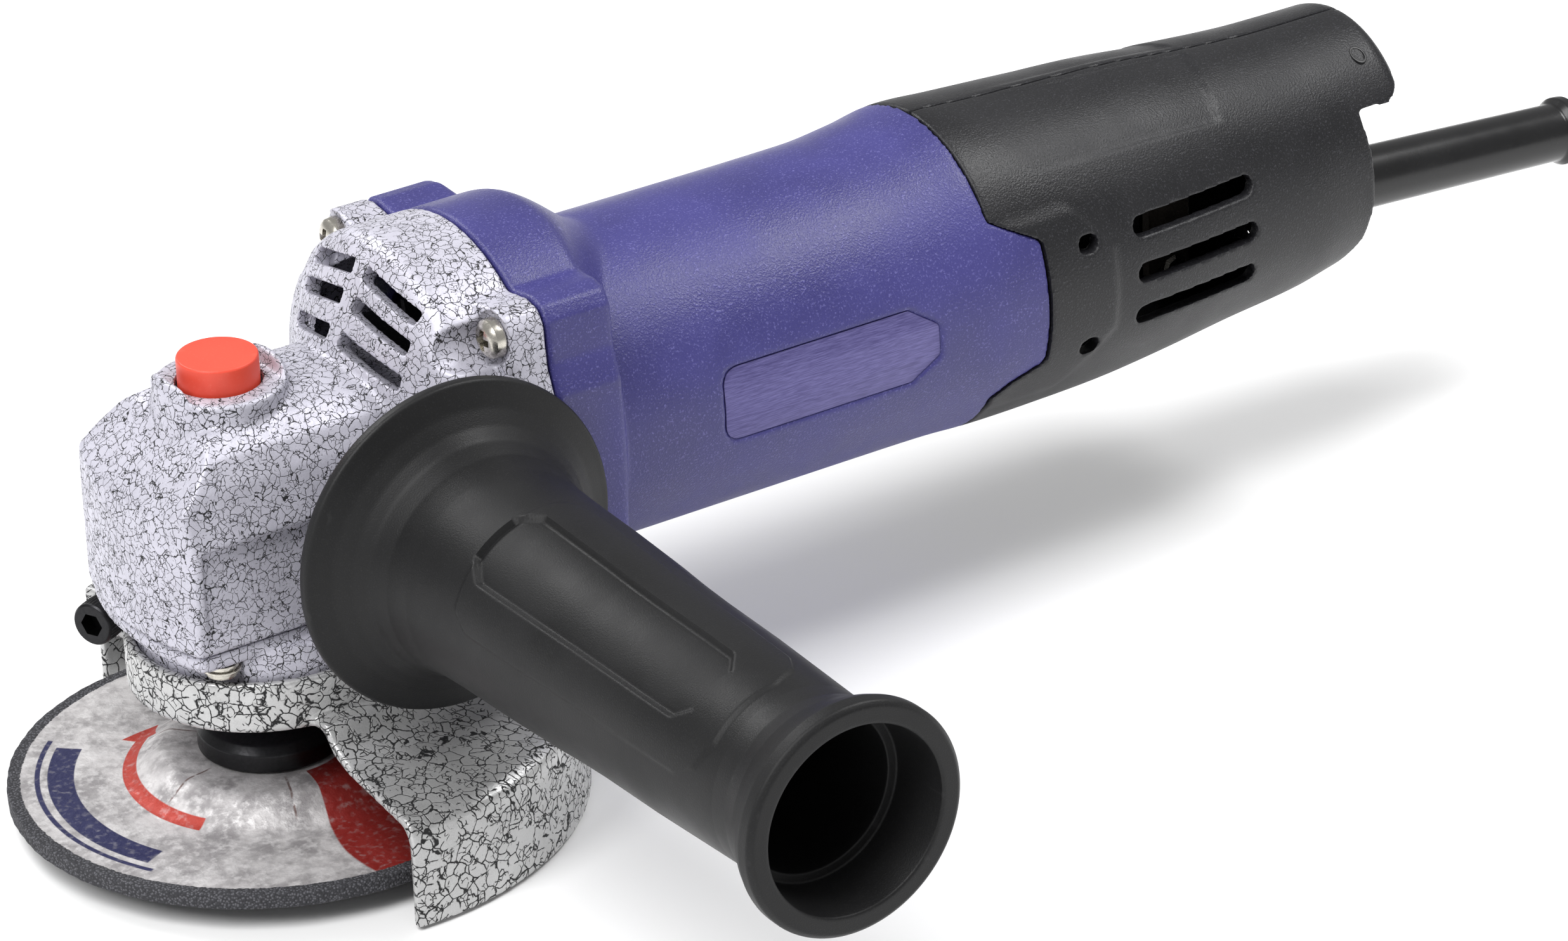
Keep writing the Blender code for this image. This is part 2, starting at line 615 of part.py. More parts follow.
def make_stator():
    core = ring("field_core", 17.5, BODY_R - BODY_WALL - GAP, 77.0, 117.0, "lamination", "x",
                (0, 0, MOTOR_Z), ROUND)
    for number, (start, end) in enumerate(((20, 44), (136, 160), (200, 224), (316, 340))):
        way = prism("coil_way" + str(number), sector(17.0, 26.2, start, end, 4), 70, 125, axis="x",
                    at=(0, 0, MOTOR_Z))
        cut(core, way)
    for name, turn in (("field_coil_upper", 0), ("field_coil_lower", 180)):
        coil = prism(name, sector(19.5, 25.8, 22 + turn, 158 + turn, 8), 66.0, 128.0, "copper",
                     "x", (0, 0, MOTOR_Z))
        window = prism(name + "_window", sector(10.0, 35.0, 42.5 + turn, 137.5 + turn, 5), 76.4,
                       117.6, axis="x", at=(0, 0, MOTOR_Z))
        cut(coil, window)
    ring("baffle_ring", 20.5, BODY_R - BODY_WALL - GAP, 51.0, 53.0, "black_plastic", "x",
         (0, 0, MOTOR_Z), ROUND)


def make_brush_gear():
    for name, side_sign in (("left", -1), ("right", 1)):
        near, far = sorted((side_sign * 13.0, side_sign * 26.5))
        holder = box("brush_holder_" + name, (139.0, near, 56.5), (149.0, far, 67.5), "brass")
        inner, outer = sorted((side_sign * 12.0, side_sign * 25.0))
        cut(holder, box("brush_way_" + name, (140.6, inner, 58.0), (147.4, outer, 66.0)))
        low, high = sorted((side_sign * 10.8, side_sign * 23.0))
        box("carbon_brush_" + name, (141.0, low, 58.4), (147.0, high, 65.6), "carbon")


def make_armature():
    at = (0, 0, MOTOR_Z)
    bore = SHAFT_R + GAP
    shaft = ((0, 172.5), (SHAFT_REAR_R, 172.5), (SHAFT_REAR_R, 160.0), (SHAFT_R, 160.0),
             (SHAFT_R, 17.6), (SHAFT_FRONT_R, 17.6), (SHAFT_FRONT_R, 8.6), (0, 8.6))
    made = [smooth(turned("armature_shaft", shaft, "steel", "x", at, SMALL))]
    made.append(ring("armature_core", bore, 16.5, 76.0, 118.0, "lamination", "x", at, 24))
    front = ((12.0, 75.7), (15.0, 73.5), (15.0, 69.0), (12.0, 66.0), (bore, 66.0), (bore, 75.7))
    rear = ((12.0, 128.0), (15.0, 125.0), (15.0, 120.5), (12.0, 118.3), (bore, 118.3), (bore, 128.0))
    made.append(smooth(turned("armature_winding_front", front, "copper", "x", at, 20)))
    made.append(smooth(turned("armature_winding_rear", rear, "copper", "x", at, 20)))
    made.append(ring("commutator", bore, 10.4, 135.0, 153.0, "copper", "x", at))
    made.append(ring("front_bearing_inner", bore, 6.4, 24.0, 31.0, "steel", "x", at, 16))
    made.append(ring("rear_bearing_inner", SHAFT_REAR_R + GAP, 5.2, 162.0, 168.0, "steel", "x", at, 16))

    fan = turned("cooling_fan", ((FAN_R, 47.5), (FAN_R, 46.0), (8.5, 45.0), (8.5, 36.0), (bore, 36.0),
                                 (bore, 47.5)), "black_plastic", "x", at, 24)
    blades = 9
    for number in range(blades):
        blade = box("fan_blade" + str(number), (36.5, 8.0, -0.7), (46.5, 25.0, 0.7))
        join(fan, place(blade, Matrix.Rotation(2 * math.pi * number / blades, 4, "X"), at))
    made.append(fan)

    tooth = 360.0 / PINION_TEETH
    outline = []
    for number in range(PINION_TEETH):
        middle = -90.0 + tooth * number
        for r, offset in ((4.2, -9.0), (6.1, -2.6), (6.1, 2.6), (4.2, 9.0)):
            a = math.radians(middle + offset)
            outline.append((r * math.cos(a), r * math.sin(a)))
    pinion = prism("pinion", outline, 12.9, 17.2, "steel", "x", at)
    cut(pinion, rod("pinion_bore", SHAFT_FRONT_R + GAP, 10.0, 20.0, axis="x", at=at, sides=10))
    made.append(pinion)
    nut = rod("pinion_nut", 4.4, 9.3, 12.6, "steel", "x", at, 6)
    cut(nut, rod("pinion_nut_bore", SHAFT_FRONT_R + GAP, 5.0, 15.0, axis="x", at=at, sides=10))
    made.append(nut)
    hang(pivot_empty("armature_pivot", at), *made)

    ring("front_bearing_outer", 8.6, FRONT_BEARING_R, 24.0, 31.0, "steel", "x", at)
    ring("rear_bearing_outer", 7.4, 9.4, 162.0, 168.0, "steel", "x", at)
    ring("rear_bearing_sleeve", 9.7, REAR_SLEEVE_R, 161.5, 168.5, "handle_rubber", "x", at)


# ---------------------------------------------------------------- spindle, wheel and lock

def make_spindle():
    shaft = ((0, 75.0), (4.5, 75.0), (4.5, 57.4), (SPINDLE_R, 57.0), (SPINDLE_R, 29.0), (7.0, 28.6),
             (7.0, 22.4), (THREAD_R, 22.2), (THREAD_R, 0.0), (0, 0.0))
    made = [smooth(turned("spindle", shaft, "steel", sides=16))]

    bore = SPINDLE_R + GAP
    crown_profile = ((16.8, 57.4), (16.8, 52.5), (12.0, 49.5), (bore, 49.5), (bore, 54.5),
                     (12.7, 54.5), (12.7, 57.4))
    pitch = 2 * math.pi / CROWN_TEETH
    half_step = Matrix.Rotation(pitch / 2, 4, "Z")
    crown = turned("crown_gear", crown_profile, "steel", half_step, sides=CROWN_TEETH)
    shape = bmesh.new()
    for number in range(CROWN_TEETH):
        # a gap lies over +X, where the pinion's lowest tooth sits at rest
        turn = Matrix.Rotation(pitch * number, 4, "Z")
        corners = []
        for r, z, half in ((12.0, 55.5, 0.72), (12.0, 58.0, 0.98), (17.5, 55.5, 1.05),
                           (17.5, 58.0, 1.45)):
            for sign in (-1, 1):
                corners.append(shape.verts.new(turn @ Vector((r, sign * half, z)) * MM))
        a, b, c, d, e, f, g, h = corners
        for face in ((a, b, f, e), (c, g, h, d), (a, c, d, b), (e, f, h, g), (a, e, g, c),
                     (b, d, h, f)):
            shape.faces.new(face)
    bmesh.ops.triangulate(shape, faces=shape.faces)
    bmesh.ops.recalc_face_normals(shape, faces=shape.faces)
    mesh = bpy.data.meshes.new("tooth_gaps")
    shape.to_mesh(mesh)
    shape.free()
    cut(crown, link(bpy.data.objects.new("tooth_gaps", mesh)))
    for number in range(4):
        a = math.radians(90.0 * number)
        cut(crown, rod("lock_hole" + str(number), PIN_R + 0.4, 45.0, 56.0,
                       at=(LOCK_R * math.cos(a), LOCK_R * math.sin(a), 0), sides=8))
    made.append(smooth(crown))

    made.append(ring("spindle_bearing_inner", bore, 9.2, 29.5, 38.5, "steel"))
    bore = THREAD_R + GAP
    seat = WHEEL_THICK + DISH_RISE + GAP + 0.1
    flange = ((8.8, 22.0), (8.8, 15.5), (13.8, 12.6), (13.8, seat), (bore, seat), (bore, 22.0))
    made.append(smooth(turned("inner_flange", flange, "black_steel", sides=24)))

    rise = DISH_RISE
    thick = WHEEL_THICK
    wheel = ((27.5, thick), (WHEEL_R, thick), (WHEEL_R, 0), (27.0, 0), (20.0, rise),
             (WHEEL_BORE_R, rise), (WHEEL_BORE_R, rise + thick), (20.6, rise + thick))
    made.append(smooth(turned("grinding_wheel", wheel, "abrasive", sides=40), 20.0))

    nut = ((7.8, 7.5), (7.8, rise - GAP), (14.0, rise - GAP), (14.0, 1.6), (13.2, 0.9), (bore, 0.9),
           (bore, 7.5))
    lock_nut = turned("lock_nut", nut, "black_steel", sides=24)
    for number in range(4):
        a = math.radians(45.0 + 90.0 * number)
        cut(lock_nut, rod("key_hole" + str(number), 2.0, -2.0, 3.0,
                          at=(10.4 * math.cos(a), 10.4 * math.sin(a), 0), sides=8))
    made.append(smooth(lock_nut))
    hang(pivot_empty("spindle_pivot", (0, 0, 0)), *made)

    ring("spindle_bearing_outer", 12.2, SPINDLE_BEARING_R, 29.5, 38.5, "steel")
    ring("spindle_top_bush", 4.8, BUSH_R, 68.0, 76.0, "brass", sides=16)
    ring("dust_seal", 7.4, SEAL_R, 25.3, 28.8, "fibre")


def make_lock():
    cap = ((0, BUTTON_TOP), (BUTTON_R - 0.9, BUTTON_TOP), (BUTTON_R, BUTTON_TOP - 0.7),
           (BUTTON_R, 83.0), (0, 83.0))
    button = smooth(turned("lock_button", cap, "red_plastic", at=(BUTTON_X, 0, 0), sides=20))
    pin = rod("lock_pin", PIN_R, 56.0, 82.7, "steel", at=(-LOCK_R, 0, 0), sides=10)

    turns = 3
    per_turn = 10
    curve = bpy.data.curves.new("lock_spring", "CURVE")
    curve.dimensions = "3D"
    curve.bevel_depth = 0.35 * MM
    curve.bevel_resolution = 1
    curve.use_fill_caps = True
    spline = curve.splines.new("POLY")
    total = turns * per_turn
    spline.points.add(total)
    for i, point in enumerate(spline.points):
        a = 2 * math.pi * i / per_turn
        z = 74.6 + 3.4 * i / total
        point.co = (2.55 * math.cos(a) * MM, 2.55 * math.sin(a) * MM, z * MM, 1)
    spring = bpy.data.objects.new("lock_spring", curve)
    spring.location = Vector((-LOCK_R, 0, 0)) * MM
    link(spring, "steel")
    hang(pivot_empty("lock_pivot", (BUTTON_X, 0, 83.0)), button, pin, spring)


# ---------------------------------------------------------------- wheel guard

def make_guard():
    collar = ((COLLAR_R, COLLAR_TOP), (COLLAR_R, COLLAR_LOW), (COLLAR_R - 2.0, COLLAR_LOW),
              (COLLAR_R - 2.0, COLLAR_TOP))
    guard = turned("wheel_guard", collar, "crackle", sides=32)
    inner = GUARD_R - SHEET
    shell = ((25.4, 24.9), (29.6, 24.9), (33.2, 21.4), (37.4, 19.7), (56.4, 17.4),
             (58.7, 16.2), (GUARD_R, 13.4), (GUARD_R, GUARD_LOW), (inner, GUARD_LOW),
             (inner, 13.2), (56.2, 15.5), (37.0, 17.9), (32.1, 19.6), (28.8, 23.1), (25.4, 23.1))
    skirt = turned("guard_skirt", shell, sides=40)
    cut(skirt, box("guard_front", (-80, -80, -20), (GUARD_FRONT_X, 80, 40)))
    join(guard, skirt)
    join(guard, box("clamp_lugs", (25.0, -4.4, 24.2), (37.4, 4.4, COLLAR_TOP), spin=CLAMP_ANGLE))
    cut(guard, box("clamp_split", (20.0, -1.4, 20.0), (45.0, 1.4, 40.0), spin=CLAMP_ANGLE))
    spin = Matrix.Rotation(math.radians(CLAMP_ANGLE), 4, "Z")
    middle = spin @ Vector((CLAMP_R, 0, CLAMP_Z))
    along = spin @ AXES_OUT[1]
    back = spin @ AXES_OUT[-1]
    cut(guard, rod("clamp_bolt_way", CLAMP_BOLT_R + GAP, -10.0, 10.0, axis=along, at=middle, sides=10))

    bolt_profile = ((0, 9.3), (3.6, 9.3), (4.25, 8.7), (4.25, 4.7), (CLAMP_BOLT_R, 4.7),
                    (CLAMP_BOLT_R, -9.5), (0, -9.5))
    bolt = turned("guard_clamp_bolt", bolt_profile, "black_steel", along, middle, 16)
    cut(bolt, rod("bolt_socket", 2.4, 6.3, 12.0, axis=along, at=middle, sides=6))
    smooth(bolt)
    nut = rod("guard_clamp_nut", 4.3, 4.7, 8.4, "zinc", back, middle, 6)
    cut(nut, rod("clamp_nut_bore", CLAMP_BOLT_R + GAP, 0.0, 12.0, axis=back, at=middle, sides=10))
    hang(pivot_empty("guard_pivot", (0, 0, 0)), smooth(guard), bolt, nut)


# ---------------------------------------------------------------- side handle

def make_handle():
    """Grip turned about its length; height is the distance out from the boss face."""
    hollow_r = 14.6
    outside = ((17.2, 133.4), (21.0, 133.4), (21.8, 132.4), (21.8, 130.0), (18.4, 123.2),
               (17.3, 118.5), (18.2, 91.0), (18.8, 65.0), (19.8, 27.0), (21.0, 17.0),
               (24.6, 10.2), (29.4, 7.4), (32.3, 6.4), (32.3, 3.9), (11.4, 3.7), (11.4, 0.3))
    inside = ((4.4, 0.3), (4.4, 40.6), (hollow_r, 60.0), (hollow_r, 122.0), (16.8, 122.0))
    grip = turned("side_grip", outside + inside, "handle_rubber", AXES_OUT[-1],
                  (HANDLE_X, -HANDLE_FACE, HANDLE_Z), 28)
    smooth(grip)
    stud = rod("handle_stud", STUD_R, -11.0, 40.0, "zinc", AXES_OUT[-1],
               (HANDLE_X, -HANDLE_FACE, HANDLE_Z))
    hang(pivot_empty("handle_pivot", (HANDLE_X, -HANDLE_FACE, HANDLE_Z)), grip, stud)


make_gear_housing()
make_bearing_box()
make_front_screws()
make_motor_housing()
make_rear_cover("rear_cover_left", -1)
make_rear_cover("rear_cover_right", 1)
make_rear_inside()
make_toggle()
make_cord_guard()
make_stator()
make_brush_gear()
make_armature()
make_spindle()
make_lock()
make_guard()
make_handle()
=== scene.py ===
"""Looks of the angle grinder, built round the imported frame.

Sizes are in millimetres in the frame's own axes and are turned into metres when a mesh is made:
the origin is the centre of the spindle's end face, +X runs back along the motor, -Y is the
handle's side and +Z is up.
"""
import json
import math

import bmesh
import bpy
from mathutils import Matrix, Vector

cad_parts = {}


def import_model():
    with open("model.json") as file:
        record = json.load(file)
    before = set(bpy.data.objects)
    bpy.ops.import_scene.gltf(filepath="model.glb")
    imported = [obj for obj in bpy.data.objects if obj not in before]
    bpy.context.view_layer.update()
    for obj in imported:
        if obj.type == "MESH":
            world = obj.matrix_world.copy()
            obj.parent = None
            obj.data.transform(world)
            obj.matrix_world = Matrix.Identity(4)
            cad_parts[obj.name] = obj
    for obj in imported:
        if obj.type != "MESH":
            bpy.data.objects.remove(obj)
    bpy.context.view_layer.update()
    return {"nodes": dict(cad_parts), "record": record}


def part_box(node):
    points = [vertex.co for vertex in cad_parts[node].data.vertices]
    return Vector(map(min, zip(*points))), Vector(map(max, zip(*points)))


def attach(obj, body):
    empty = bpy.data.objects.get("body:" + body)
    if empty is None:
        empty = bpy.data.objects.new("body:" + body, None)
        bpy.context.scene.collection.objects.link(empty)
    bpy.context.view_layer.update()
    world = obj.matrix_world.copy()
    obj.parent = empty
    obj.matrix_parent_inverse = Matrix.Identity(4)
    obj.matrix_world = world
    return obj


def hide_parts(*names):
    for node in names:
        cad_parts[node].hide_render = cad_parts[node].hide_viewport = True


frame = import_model()

MM = 0.001
FINE = 1.0       # voxels are coarser while trying things


def extent(node):
    low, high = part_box(node)
    return low / MM, high / MM


# ---------------------------------------------------------------- places, from the frame

gear_low, gear_high = extent("gear_housing")
core_low, core_high = extent("armature_core")
button_low, button_high = extent("lock_button")
grip_low, grip_high = extent("side_grip")
guard_low, guard_high = extent("wheel_guard")

PARTING_X = gear_high.x
HEAD_FRONT = gear_low.x
MOTOR_Z = (core_low.z + core_high.z) / 2
BUTTON_X = (button_low.x + button_high.x) / 2
BUTTON_R = (button_high.x - button_low.x) / 2
BUTTON_TOP = button_high.z
HANDLE_X = (grip_low.x + grip_high.x) / 2
HANDLE_Z = (grip_low.z + grip_high.z) / 2
GRIP_FLANGE_R = (grip_high.x - grip_low.x) / 2
GUARD_R = guard_high.y
GUARD_LOW = guard_low.z
COLLAR_R = -guard_low.x
COLLAR_TOP = guard_high.z
WHEEL_R = extent("grinding_wheel")[1].x
PLATE_TOP = extent("bearing_box")[1].z
HOOD_END = extent("rear_cover_left")[1].x
GAP = 0.3

# Housings
BODY_R = 31.0                   # barrel of the motor housing
BODY_WALL = 2.8
ARCH_R = 33.3                   # arched crown of the joint face
ARCH_Z = 69.2
EAR_Y = 28.0                    # screws of the joint face, from the motor's axis
EAR_DZ = 29.0
EAR_SEAT_X = 37.2
HEAD_Y = 21.0                   # half width of the gear head
HEAD_LOW = 41.3
HEAD_HIGH = 84.0
FRONT_R = 59.0                  # bow of the gear head, seen from above
HANDLE_FACE = 32.5              # seat of the handle, from the middle
HANDLE_HOLE_R = 4.35
HANDLE_HOLE_DEEP = 12.0
LOCK_R = 10.4                   # lock pin, from the spindle's axis
BOX_SCREW = (18.2, 17.2)
BOX_SEAT_Z = 36.2
BOX_SCREW_WAY_R = 2.3
HOOD_SLOTS = ((19.1, 86.3, 8.0), (22.4, 92.7, 10.0), (25.3, 98.1, 11.0))    # x, z, lean
NAME_PLATE = (84.0, 127.0, 133.6, 55.5, 71.0)      # square end, shoulders, point; low, high

# Rear cover
COVER_END = 241.5
HOOD_LOW = 78.0
VENT_X = 195.5
VENT_ROWS = (72.6, 63.4, 54.2)
PEEP_X = 168.7
PEEP_ROWS = (72.8, 51.2)
SCREW_SPOTS = ((172.0, 84.5), (172.0, 39.5), (226.0, 43.0))
CLAMP_SCREW_X = 212.5
CLAMP_SCREW_ROWS = (44.0, 61.0)
CORD_AT = (238.0, 0.0, 52.5)
CORD_TILT = 4.1
SWITCH_X = 237.0
SWITCH_TURN = -14.0
OFF_MARK_X = 247.2
OFF_MARK_TURN = 119.8

# Wheel and guard
WHEEL_RISE = 4.7
WHEEL_THICK = 3.0
WHEEL_BORE_R = 8.2
FLANGE_BORE_R = 5.3
THREAD_PITCH = 1.5
GUARD_SHEET = 1.8
GUARD_FRONT_X = -4.5            # the guard is open in front of this
COLLAR_LOW = 23.1
COLLAR_WALL = 2.0
CLAMP_ANGLE = 116.0
CLAMP_R = 32.6
CLAMP_Z = 28.7
CLAMP_WAY_R = 2.8

# Distance from the armature axis to the body's top, side and underside
BODY_SHAPE = ((60, 31.0, 31.0, 31.0), (128, 31.0, 31.0, 31.0), (140, 32.3, 31.2, 31.1),
              (149, 33.8, 31.7, 31.5), (162, 33.0, 31.7, 31.5), (180, 32.2, 31.3, 31.0),
              (196, 31.4, 30.2, 29.6), (212, 29.8, 28.4, 27.9), (230, 28.5, 26.8, 26.2),
              (241, 28.4, 25.6, 23.8), (254, 28.4, 25.0, 22.0))
TAB_EDGE = ((148.0, 81.5), (158.4, 76.0), (158.4, 51.0), (151.0, 48.0), (147.2, 45.0))


# ---------------------------------------------------------------- mesh helpers

TO_X = Matrix(((0, 0, 1), (1, 0, 0), (0, 1, 0))).to_4x4()       # local XY -> YZ, local Z -> +X
TO_Y = Matrix(((1, 0, 0), (0, 0, 1), (0, -1, 0))).to_4x4()      # local Z -> +Y
FROM_Y = Matrix(((1, 0, 0), (0, 0, -1), (0, 1, 0))).to_4x4()    # local XY -> XZ, local Z -> -Y
AS_IS = Matrix.Identity(4)
FACING = {-1: FROM_Y, 1: Matrix.Scale(-1, 4, (0, 1, 0)) @ FROM_Y}      # local Z -> outward


def placed(turn, at=(0, 0, 0)):
    return Matrix.Translation(Vector(at)) @ turn


MOTOR_AXIS = placed(TO_X, (0, 0, MOTOR_Z))
ARCH_AXIS = placed(TO_X, (0, 0, ARCH_Z))
BUTTON_AXIS = placed(AS_IS, (BUTTON_X, 0, 0))


def finished(name, shape):
    """Object from a bmesh in millimetres."""
    bmesh.ops.scale(shape, vec=(MM, MM, MM), verts=shape.verts)
    bmesh.ops.recalc_face_normals(shape, faces=shape.faces)
    mesh = bpy.data.meshes.new(name)
    shape.to_mesh(mesh)
    shape.free()
    obj = bpy.data.objects.new(name, mesh)
    bpy.context.scene.collection.objects.link(obj)
    return obj


def loft(name, rings):
    """Skin over rings of points of equal count, closed at both ends."""
    shape = bmesh.new()
    made = [[shape.verts.new(point) for point in ring] for ring in rings]
    count = len(rings[0])
    for near, far in zip(made, made[1:]):
        for i in range(count):
            j = (i + 1) % count
            shape.faces.new((near[i], near[j], far[j], far[i]))
    shape.faces.new(made[0][::-1])
    shape.faces.new(made[-1])
    return finished(name, shape)


def lathe(name, profile, matrix=AS_IS, steps=96, bend=None):
    """Turn a closed profile of (radius, height) points; bend may move each point."""
    shape = bmesh.new()
    rings = []
    for r, h in profile:
        ring = []
        for i in range(1 if r == 0 else steps):
            angle = 2 * math.pi * i / steps
            point = Vector((r * math.cos(angle), r * math.sin(angle), h))
            if bend:
                point = bend(point, r, h, angle)
            ring.append(shape.verts.new(matrix @ point))
        rings.append(ring)
    for near, far in zip(rings, rings[1:] + rings[:1]):
        if len(near) == 1 and len(far) == 1:
            continue
        for i in range(steps):
            j = (i + 1) % steps
            corners = [near[i % len(near)], near[j % len(near)], far[j % len(far)], far[i % len(far)]]
            kept = [v for k, v in enumerate(corners) if v is not corners[k - 1]]
            shape.faces.new(kept)
    return finished(name, shape)


def prism(name, outline, low, high, matrix=AS_IS):
    """Flat outline with a thickness along local Z."""
    return loft(name, [[matrix @ Vector((u, v, h)) for u, v in outline] for h in (low, high)])


def rod(name, r, low, high, matrix=AS_IS, steps=48):
    return lathe(name, ((0, high), (r, high), (r, low), (0, low)), matrix, steps)


def box(name, low, high, matrix=AS_IS):
    outline = ((low[0], low[1]), (high[0], low[1]), (high[0], high[1]), (low[0], high[1]))
    return prism(name, outline, low[2], high[2], matrix)


def arc(cx, cy, r, start, end, steps):
    angles = [math.radians(start + (end - start) * i / steps) for i in range(steps + 1)]
    return [(cx + r * math.cos(a), cy + r * math.sin(a)) for a in angles]


def rounded(points, radius, steps=5, closed=True):
    """Polyline with each corner replaced by a curve; one radius, or one for each point."""
    out = []
    count = len(points)
    for i, point in enumerate(points):
        r = radius[i] if hasattr(radius, "__len__") else radius
        here = Vector(point)
        if r == 0 or (not closed and i in (0, count - 1)):
            out.append(tuple(here))
            continue
        back = Vector(points[i - 1]) - here
        ahead = Vector(points[(i + 1) % count]) - here
        angle = back.angle(ahead)
        if angle > math.pi - 0.02:
            out.append(tuple(here))
            continue
        reach = min(r / math.tan(angle / 2), 0.48 * back.length, 0.48 * ahead.length)
        start = here + back.normalized() * reach
        end = here + ahead.normalized() * reach
        for k in range(steps + 1):
            t = k / steps
            out.append(tuple(start * (1 - t) ** 2 + here * 2 * t * (1 - t) + end * t * t))
    return out


def resampled(points, step, closed=True):
    """Polyline with no edge longer than step."""
    out = []
    count = len(points)
    for i in range(count if closed else count - 1):
        a, b = Vector(points[i]), Vector(points[(i + 1) % count])
        parts = max(1, math.ceil((b - a).length / step))
        out += [tuple(a.lerp(b, k / parts)) for k in range(parts)]
    if not closed:
        out.append(tuple(points[-1]))
    return out


def baked(obj):
    """The object with its modifiers applied."""
    bpy.context.view_layer.update()
    seen = obj.evaluated_get(bpy.context.evaluated_depsgraph_get())
    mesh = bpy.data.meshes.new_from_object(seen)
    obj.modifiers.clear()
    obj.data = mesh
    return obj


def combine(obj, others, operation):
    for other in others:
        step = obj.modifiers.new(operation.title(), "BOOLEAN")
        step.operation = operation
        step.solver = "MANIFOLD"
        step.object = other
    baked(obj)
    for other in others:
        bpy.data.objects.remove(other)
    return obj


def cut(obj, *others):
    return combine(obj, others, "DIFFERENCE")


def keep(obj, *others):
    return combine(obj, others, "INTERSECT")


def joined(name, *objects):
    """One object that holds all the bodies; a cast turns them into one skin."""
    shape = bmesh.new()
    for obj in objects:
        shape.from_mesh(obj.data)
        bpy.data.objects.remove(obj)
    mesh = bpy.data.meshes.new(name)
    shape.to_mesh(mesh)
    shape.free()
    obj = bpy.data.objects.new(name, mesh)
    bpy.context.scene.collection.objects.link(obj)
    return obj


def cast(obj, voxel, passes, share=1.0):
    """One skin with softened edges, as a moulding or a casting has them."""
    remesh = obj.modifiers.new("Remesh", "REMESH")
    remesh.mode = "VOXEL"
    remesh.voxel_size = voxel * FINE * MM
    if passes:
        soften = obj.modifiers.new("Smooth", "SMOOTH")
        soften.factor = 0.5
        soften.iterations = max(1, round(passes / FINE ** 2))
    if share < 1.0:
        thin = obj.modifiers.new("Decimate", "DECIMATE")
        thin.ratio = share
    return baked(obj)


def smooth(obj, angle=40.0):
    obj.data.shade_smooth()
    obj.data.set_sharp_from_angle(angle=math.radians(angle))
    return obj


def bevel(obj, width, segments=2, angle=40.0):
    step = obj.modifiers.new("Bevel", "BEVEL")
    step.width = width * MM
    step.segments = segments
    step.limit_method = "ANGLE"
    step.angle_limit = math.radians(angle)
    return baked(obj)


def show(obj, body, slot, look, *nodes, angle=40.0):
    """Hand the piece over: its body, its material and the CAD nodes it stands for; the slot is not used."""
    smooth(obj, angle)
    obj.data.materials.clear()
    obj.data.materials.append(look)
    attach(obj, body)
    if nodes:
        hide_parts(*nodes)
    return obj


# ---------------------------------------------------------------- materials

def add(tree, kind, inputs=(), **settings):
    """Node with its settings; an input may be a value or another node's socket."""
    made = tree.nodes.new("ShaderNode" + kind)
    for key, value in settings.items():
        setattr(made, key, value)
    for key, value in dict(inputs).items():
        socket = made.inputs[key]
        if isinstance(value, bpy.types.NodeSocket):
            tree.links.new(value, socket)
        else:
            socket.default_value = value
    return made


def math_node(tree, operation, a, b=0.0, clamp=False):
    return add(tree, "Math", {0: a, 1: b}, operation=operation, use_clamp=clamp).outputs[0]


def ramp(tree, value, low, high, to_low=0.0, to_high=1.0):
    """Smooth step of a value from one range to another."""
    made = add(tree, "MapRange", {"Value": value, "From Min": low, "From Max": high,
                                  "To Min": to_low, "To Max": to_high},
               interpolation_type="SMOOTHSTEP")
    return made.outputs["Result"]


def blend(tree, factor, a, b):
    """Mix of two colours; each is a colour or another node's socket."""
    made = add(tree, "Mix", {"Factor": factor}, data_type="RGBA")
    for index, value in ((6, a), (7, b)):
        if isinstance(value, bpy.types.NodeSocket):
            tree.links.new(value, made.inputs[index])
        else:
            made.inputs[index].default_value = (*value, 1.0)
    return made.outputs[2]


def noise(tree, where, scale, detail=2.0, roughness=0.5):
    """Cloudy value from 0 to 1; scale is in clouds per millimetre."""
    made = add(tree, "TexNoise", {"Vector": where, "Scale": scale, "Detail": detail,
                                  "Roughness": roughness})
    return made.outputs["Fac"]


def material(name):
    """Material with its shader, and object coordinates in millimetres."""
    made = bpy.data.materials.new(name)
    made.use_nodes = True
    tree = made.node_tree
    shader = tree.nodes["Principled BSDF"]
    spot = add(tree, "TexCoord").outputs["Object"]
    where = add(tree, "VectorMath", {0: spot, "Scale": 1 / MM}, operation="SCALE").outputs[0]
    return made, tree, shader, where


def plug(tree, shader, name, value):
    tree.links.new(value, shader.inputs[name])


def bump(tree, shader, height, strength, depth, after=None):
    """Bump of a height field whose full range is depth millimetres."""
    made = add(tree, "Bump", {"Height": height, "Strength": strength, "Distance": depth * MM})
    if after is not None:
        tree.links.new(after, made.inputs["Normal"])
    plug(tree, shader, "Normal", made.outputs[0])
    return made.outputs[0]


def edges(tree, low, high):
    """Convex edges, where handling rubs a finish; with the range turned round, the hollows, where shade is
    painted.
    """
    return ramp(tree, add(tree, "NewGeometry").outputs["Pointiness"], low, high)


